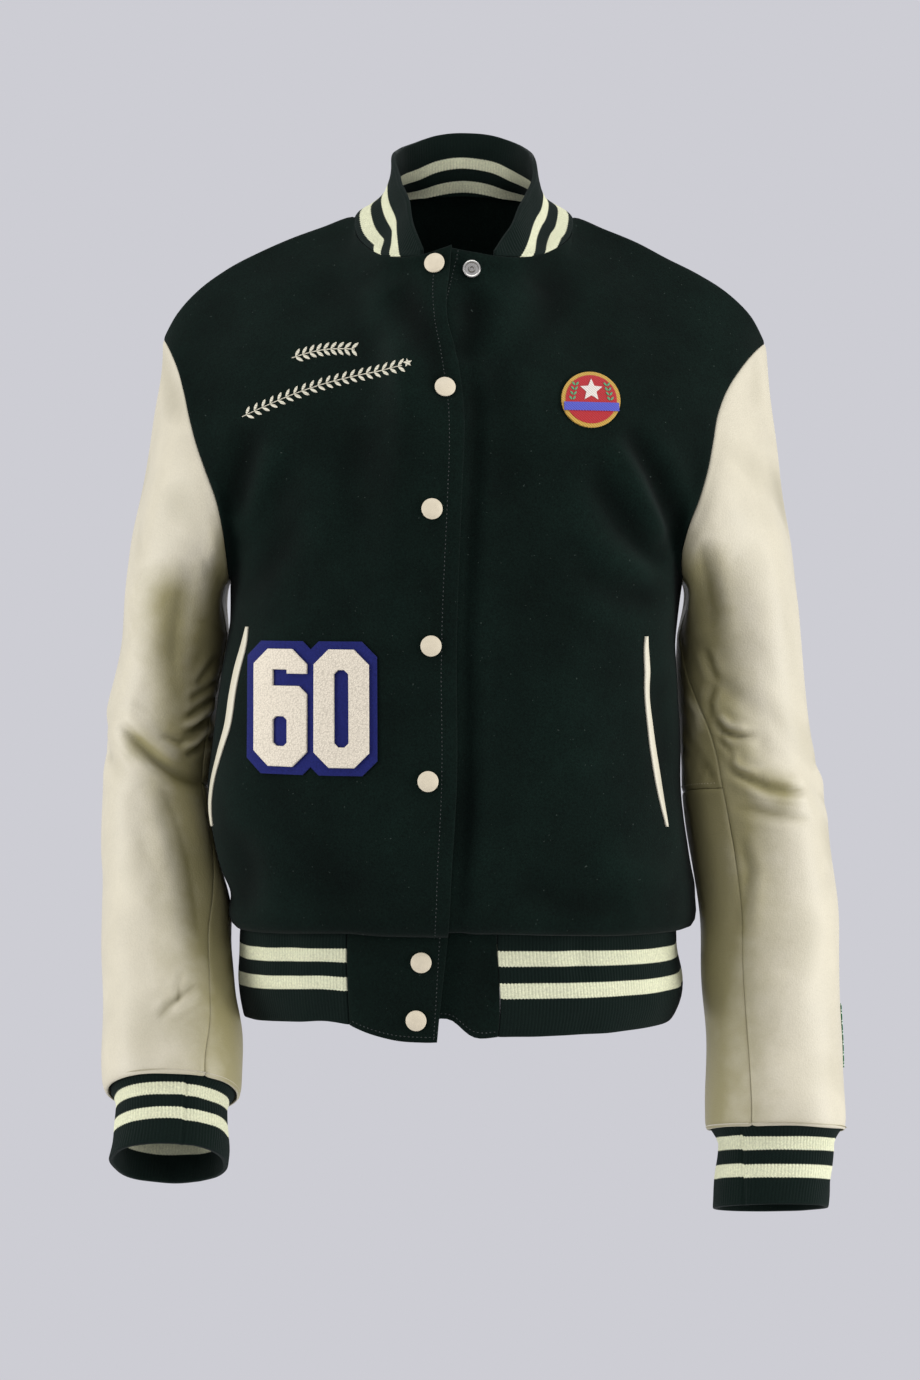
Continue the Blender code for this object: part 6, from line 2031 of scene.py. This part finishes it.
def number_outlines():
    """The felt's outline, and the outlines of the digits 6 and 0, about their centres."""
    w, h = DIGIT_SIZE
    s, c, bar, chamfer = DIGIT_STROKE, DIGIT_CORNER, DIGIT_BAR, DIGIT_CHAMFER
    reach_x, reach_y = (DIGIT_PITCH + w) / 2 + FELT_BORDER, h / 2 + FELT_BORDER
    side = [(reach_x, reach_y - c), (reach_x - c, reach_y), (FELT_DIP, reach_y), (0.0, reach_y - FELT_DIP)]
    top = side + [(-x, y) for x, y in reversed(side[:-1])]
    felt = top + [(-x, -y) for x, y in top]
    nought = [octagon(w, h, c), octagon(w - 2 * s, h - 2 * s, 0.003)[::-1]]
    low_hole = octagon(w - 2 * s, h / 2 - s - bar / 2, 0.0025, (0, -(h / 2 - s + bar / 2) / 2))
    inner, tip, notch = w / 2 - s, h / 2 - s - DIGIT_TIP, bar / 2 + DIGIT_NOTCH
    six = [(w / 2, c - h / 2), (w / 2, notch - chamfer), (w / 2 - chamfer, notch), (-inner, notch)]
    six += [(-inner, h / 2 - s), (inner, h / 2 - s), (inner, tip), (w / 2, tip)]
    six += [(w / 2, h / 2 - c), (w / 2 - c, h / 2), (c - w / 2, h / 2), (-w / 2, h / 2 - c)]
    six += [(-w / 2, c - h / 2), (c - w / 2, -h / 2), (w / 2 - c, -h / 2)]
    return felt, ([six, low_hole[::-1]], nought)


def number_badge(settings):
    """The felt backing with its two chenille digits."""
    centre = Vector((FELT_CENTRE[0], 0, FELT_CENTRE[1]))
    felt, digits = number_outlines()
    front = cloth_tree("front_right")
    mesh = outline_plate("number_felt_pressed", [felt], FELT_THICK, 0.004, front, centre, 0.0003, 0.0003)
    backing = carried(mesh.name, mesh, wool_felt(settings.felt_colour))
    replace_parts(backing, "number_felt")
    felt_tree = tree_of(mesh)
    chenille = loop_chenille(settings.chenille_colour)
    made = []
    for number, outlines in enumerate(digits, 1):
        middle = centre + ACROSS * ((number - 1.5) * DIGIT_PITCH)
        name = f"number_digit_{number}_chenille"
        mesh = outline_plate(name, outlines, DIGIT_THICK, 0.003, felt_tree, middle, 0.0001, 0.0007)
        made.append(carried(name, mesh, chenille))
        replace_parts(made[-1], f"number_digit_{number}")


def star(centre, outer, inner, turn):
    """A five-pointed star's outline."""
    reaches = [(math.radians(turn + 36 * step), (outer, inner)[step % 2]) for step in range(10)]
    return [(centre[0] + r * math.cos(a), centre[1] + r * math.sin(a)) for a, r in reaches]


def leaf(centre, length, width, turn):
    """A pointed leaf's outline, clockwise."""
    c, s = math.cos(math.radians(turn)), math.sin(math.radians(turn))
    half = [(length * (t - 0.5), width / 2 * math.sin(math.pi * t) ** 0.8) for t in np.linspace(0, 1, 9)]
    line = half + [(x, -y) for x, y in half[-2:0:-1]]
    return [(centre[0] + x * c - y * s, centre[1] + x * s + y * c) for x, y in line][::-1]


def chest_badge():
    """The round badge: gold border, red field, white star, a blue band and green sprigs."""
    tree = cloth_tree("front_left")
    centre = Vector((CHEST_CENTRE[0], 0, CHEST_CENTRE[1]))
    w, h = CHEST_SIZE
    field = oval(w - 2 * CHEST_RIM, h - 2 * CHEST_RIM, 64)
    band = [(0.0205, -0.0088), (0.0205, -0.0026), (-0.0205, -0.0026), (-0.0205, -0.0088)]
    sprigs = []
    for side in (-1, 1):
        for step in range(4):
            height = 0.0005 + step * 0.0036
            x = side * (0.0142 - step * 0.0008)
            for lean in (-side, side):
                sprigs.append(leaf((x + lean * 0.0013, height), 0.0036, 0.0015, 90 - lean * 38))
    layers = [
        ("badge_border", [oval(w, h, 72)], 0.0016, "Gold thread", "B8923A", 0.0002),
        ("badge_field", [field], 0.0017, "Red thread", "A8181F", 0.0005),
        ("badge_band", [band], 0.0008, "Blue thread", "4A4FB0", 0.0021),
        ("badge_star", [star((0.0, 0.0066), 0.0088, 0.0040, 90.0)], 0.0006, "White thread", "D6CEC4", 0.0021),
        ("badge_sprigs", sprigs, 0.0006, "Green thread", "4C9868", 0.0021),
    ]
    made = []
    for name, outlines, thick, thread, colour, gap in layers:
        mesh = outline_plate(name, outlines, thick, 0.004, tree, centre, gap, 0.00025)
        made.append(carried(name, mesh, satin_thread(thread, colour)))
    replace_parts(made[0], "chest_badge")


def garland(start, end, bow, count, length, width):
    """Leaves in pairs along a bowed stem, and the stem."""
    (x0, y0), (x1, y1) = start, end

    def bowed(t):
        return x0 + (x1 - x0) * t, y0 + (y1 - y0) * t + bow * math.sin(math.pi * t)

    line = [bowed(t) for t in np.linspace(0, 1, 40)]
    outlines = [[(x, y + 0.0003) for x, y in line][::-1] + [(x, y - 0.0003) for x, y in line]]
    rise = math.atan2(y1 - y0, x1 - x0)
    for step in range(count):
        share = (step + 0.5) / count
        x, y = bowed(share)
        lean = math.degrees(rise + math.atan2(bow * math.pi * math.cos(math.pi * share), x1 - x0))
        for turn in (lean + 46, lean - 46):
            reach, angle = length * 0.56, math.radians(turn)
            middle = (x + reach * math.cos(angle), y + reach * math.sin(angle))
            outlines.append(leaf(middle, length, width, turn))
    return outlines


def chest_embroidery(settings):
    """A short sprig over a long leafy garland, in cream thread on the right chest."""
    tree = cloth_tree("front_right")
    centre = Vector((SPRIG_CENTRE[0], 0, SPRIG_CENTRE[1]))
    outlines = garland((-0.022, -0.003), (0.026, 0.002), 0.003, 9, 0.0068, 0.0024)
    outlines += garland((-0.059, -0.047), (0.062, -0.014), 0.006, 20, 0.0066, 0.0022)
    outlines.append(star((0.066, -0.012), 0.0034, 0.0015, 100.0))
    mesh = outline_plate("chest_embroidery", outlines, 0.0007, 0.006, tree, centre, -0.0001, 0.0002)
    carried(mesh.name, mesh, satin_thread("Cream thread", settings.thread_colour))


def sleeve_label(settings):
    """The woven label on the outer side of the left sleeve."""
    tree = cloth_tree("sleeve_left_top")
    w, h = LABEL_SIZE
    outline = [(w / 2, h / 2), (-w / 2, h / 2), (-w / 2, -h / 2), (w / 2, -h / 2)]
    centre = Vector((0.3, *LABEL_CENTRE))
    name = "sleeve_label_woven"
    mesh = outline_plate(name, [outline], LABEL_THICK, 0.003, tree, centre, 0.0003, 0.0002, AHEAD, -ACROSS)
    made = carried(name, mesh, woven_label(settings.label_colour, "CFE3D2"))
    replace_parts(made, "sleeve_label")


# ---- stage ----


def area_light(name, location, size, watts):
    light = bpy.data.lights.new(name, "AREA")
    light.shape = "RECTANGLE"
    light.size, light.size_y = size
    light.energy = watts
    made = bpy.data.objects.new(name, light)
    made.location = location
    made.rotation_euler = (LIGHTS_AIM - Vector(location)).to_track_quat("-Z", "Y").to_euler()
    bpy.context.scene.collection.objects.link(made)


def build_stage(settings):
    """The pale floor, the soft light and the camera in front of the jacket."""
    scene = bpy.context.scene
    sides = FLOOR_SIDES
    turns = np.linspace(0, 2 * math.pi, sides + 1)[:-1]
    rim = [(FLOOR_RADIUS * math.cos(t), FLOOR_RADIUS * math.sin(t)) for t in turns]
    points = [(x, y, z) for z in (FLOOR_HEIGHT, FLOOR_HEIGHT - 0.02) for x, y in rim]
    faces = [tuple(range(sides)), tuple(range(2 * sides - 1, sides - 1, -1))]
    faces += [(k, k + sides, (k + 1) % sides + sides, (k + 1) % sides) for k in range(sides)]
    mesh = bpy.data.meshes.new("studio_floor")
    mesh.from_pydata(points, [], faces)
    mesh.materials.append(painted_floor())
    floor = bpy.data.objects.new("studio_floor", mesh)
    scene.collection.objects.link(floor)
    world = bpy.data.worlds.new("Pale studio")
    world.use_nodes = True
    world.node_tree.nodes["Background"].inputs["Color"].default_value = linear("CDCDD4")
    world.node_tree.nodes["Background"].inputs["Strength"].default_value = settings.backdrop_light
    scene.world = world
    for name, location, size, watts in LIGHTS:
        area_light(name, location, size, watts * settings.studio_light)
    camera = bpy.data.cameras.new("Camera")
    camera.sensor_fit = "VERTICAL"
    camera.sensor_height = SENSOR
    camera.lens = SENSOR * FOCAL_PIXELS / PHOTO_HEIGHT
    made = bpy.data.objects.new("Camera", camera)
    made.location = CAMERA_PLACE
    made.rotation_euler = (math.radians(90) - CAMERA_PITCH, 0.0, 0.0)
    scene.collection.objects.link(made)
    scene.camera = made
    scene.view_settings.view_transform = "Standard"


# ---- settings, operators and panel ----


def amount(name, description, default, most, **unit_or_subtype):
    """A number from none to the most that makes sense, in the panel."""
    plain = dict(name=name, description=description, default=default, min=0.0, max=most)
    return FloatProperty(**plain, **unit_or_subtype)


def picked_colour(name, description, colour):
    plain = dict(name=name, description=description, default=linear(colour)[:3])
    return FloatVectorProperty(**plain, min=0.0, max=1.0, size=3, subtype="COLOR")


class JacketSizes(bpy.types.PropertyGroup):
    crease_depth: amount("Crease depth", "How deep the worked creases lie", 1.0, 2.0, subtype="FACTOR")
    rib_pitch: FloatProperty(
        name="Rib pitch",
        description="Width of one knit rib",
        default=RIB_PITCH,
        min=0.0015,
        max=0.006,
        unit="LENGTH",
    )
    rib_relief: amount("Rib relief", "Height of one knit rib", 0.0004, 0.002, unit="LENGTH")
    stitch_pitch: FloatProperty(
        name="Stitch length",
        description="Length of one topstitch",
        default=0.0031,
        min=0.001,
        max=0.008,
        unit="LENGTH",
    )


class JacketColours(bpy.types.PropertyGroup):
    wool_colour: picked_colour("Wool", "Colour of the body's wool", "07120E")
    leather_colour: picked_colour("Leather", "Colour of the sleeves' leather", "C5BEA8")
    rib_colour: picked_colour("Rib", "Ground colour of the knit ribs", "0C1814")
    stripe_colour: picked_colour("Stripes", "Colour of the ribs' stripes", "D3D4B4")
    welt_colour: picked_colour("Welts", "Colour of the pocket welts", "CCC6B0")
    cap_colour: picked_colour("Snap caps", "Enamel colour of the snaps", "CCC1A8")
    felt_colour: picked_colour("Felt", "Colour of the number's backing", "1B2059")
    chenille_colour: picked_colour("Chenille", "Colour of the number", "E0D6C2")
    thread_colour: picked_colour("Embroidery", "Colour of the chest embroidery", "C9C4AE")
    label_colour: picked_colour("Label", "Ground colour of the sleeve label", "1E6B40")


class StudioLight(bpy.types.PropertyGroup):
    studio_light: amount("Softboxes", "Strength of the softboxes", 1.0, 4.0, subtype="FACTOR")
    backdrop_light: amount("Backdrop", "Strength of the pale surroundings", 1.0, 4.0, subtype="FACTOR")


def both(context):
    """The sizes and the colours, read as one."""
    sizes, colours = context.scene.jacket_sizes, context.scene.jacket_colours
    values = {name: getattr(sizes, name) for name in JacketSizes.__annotations__}
    values |= {name: tuple(getattr(colours, name)) for name in JacketColours.__annotations__}
    return SimpleNamespace(**values)


class JACKET_OT_body(bpy.types.Operator):
    """Make the wool fronts, back and hem tabs"""

    bl_idname = "jacket.body"
    bl_label = "Wool body"

    def execute(self, context):
        settings = both(context)
        names = ("front_right", "front_left", "back", "hem_tab_right", "hem_tab_left")
        place_cloth(names, melton_wool(settings.wool_colour), WOOL_CREASES, settings)
        return {"FINISHED"}


class JACKET_OT_sleeves(bpy.types.Operator):
    """Make the leather sleeves"""

    bl_idname = "jacket.sleeves"
    bl_label = "Leather sleeves"

    def execute(self, context):
        settings = both(context)
        leather = cowhide("Cream cowhide", settings.leather_colour, "847C49")
        for side in ("right", "left"):
            names = [f"sleeve_{side}_{part}" for part in ("top", "under_upper", "under_lower")]
            place_cloth(names, leather, LEATHER_CREASES[side], settings)
        return {"FINISHED"}


class JACKET_OT_ribs(bpy.types.Operator):
    """Knit the collar, the hem band and the cuffs"""

    bl_idname = "jacket.ribs"
    bl_label = "Knit ribs"

    def execute(self, context):
        settings = both(context)
        knit = striped_knit(settings.rib_colour, settings.stripe_colour)
        names = ("collar_rib", "hem_rib", "cuff_right", "cuff_left")
        place_cloth(names, knit, RIB_CREASES, settings)
        return {"FINISHED"}


class JACKET_OT_welts(bpy.types.Operator):
    """Lay the pocket welts"""

    bl_idname = "jacket.welts"
    bl_label = "Pocket welts"

    def execute(self, context):
        pocket_welts(both(context))
        return {"FINISHED"}


class JACKET_OT_snaps(bpy.types.Operator):
    """Set the snap caps and the stud"""

    bl_idname = "jacket.snaps"
    bl_label = "Snaps"

    def execute(self, context):
        snaps(both(context))
        return {"FINISHED"}


class JACKET_OT_number(bpy.types.Operator):
    """Sew the felt and chenille number on"""

    bl_idname = "jacket.number"
    bl_label = "Number"

    def execute(self, context):
        number_badge(both(context))
        return {"FINISHED"}


class JACKET_OT_badges(bpy.types.Operator):
    """Embroider the chest and sew on the round badge and the sleeve label"""

    bl_idname = "jacket.badges"
    bl_label = "Badges and embroidery"

    def execute(self, context):
        settings = both(context)
        chest_badge()
        chest_embroidery(settings)
        sleeve_label(settings)
        return {"FINISHED"}


class JACKET_OT_topstitch(bpy.types.Operator):
    """Sew the topstitching"""

    bl_idname = "jacket.topstitch"
    bl_label = "Topstitching"

    def execute(self, context):
        topstitching(both(context))
        return {"FINISHED"}


class JACKET_OT_stage(bpy.types.Operator):
    """Set up the pale floor, the soft light and the camera"""

    bl_idname = "jacket.stage"
    bl_label = "Stage"

    def execute(self, context):
        build_stage(context.scene.jacket_light)
        return {"FINISHED"}


OPERATORS = (
    JACKET_OT_body,
    JACKET_OT_sleeves,
    JACKET_OT_ribs,
    JACKET_OT_welts,
    JACKET_OT_snaps,
    JACKET_OT_number,
    JACKET_OT_badges,
    JACKET_OT_topstitch,
    JACKET_OT_stage,
)


class JACKET_PT_main(bpy.types.Panel):
    """The jacket's sizes and colours, and a button for each group of pieces"""

    bl_label = "Baseball jacket"
    bl_idname = "JACKET_PT_main"
    bl_space_type = "VIEW_3D"
    bl_region_type = "UI"
    bl_category = "Jacket"

    def draw(self, context):
        scene = context.scene
        for group in (scene.jacket_sizes, scene.jacket_colours, scene.jacket_light):
            box = self.layout.box()
            for name in type(group).__annotations__:
                box.prop(group, name)
        for operator in OPERATORS:
            self.layout.operator(operator.bl_idname)


CLASSES = (JacketSizes, JacketColours, StudioLight, *OPERATORS, JACKET_PT_main)


def register():
    for each in CLASSES:
        bpy.utils.register_class(each)
    bpy.types.Scene.jacket_sizes = PointerProperty(type=JacketSizes)
    bpy.types.Scene.jacket_colours = PointerProperty(type=JacketColours)
    bpy.types.Scene.jacket_light = PointerProperty(type=StudioLight)


def unregister():
    del bpy.types.Scene.jacket_light
    del bpy.types.Scene.jacket_colours
    del bpy.types.Scene.jacket_sizes
    for each in reversed(CLASSES):
        bpy.utils.unregister_class(each)


def main():
    register()
    bpy.ops.jacket.body()
    bpy.ops.jacket.sleeves()
    bpy.ops.jacket.ribs()
    bpy.ops.jacket.welts()
    bpy.ops.jacket.snaps()
    bpy.ops.jacket.number()
    bpy.ops.jacket.badges()
    bpy.ops.jacket.topstitch()
    bpy.ops.jacket.stage()


if __name__ == "__main__":
    main()
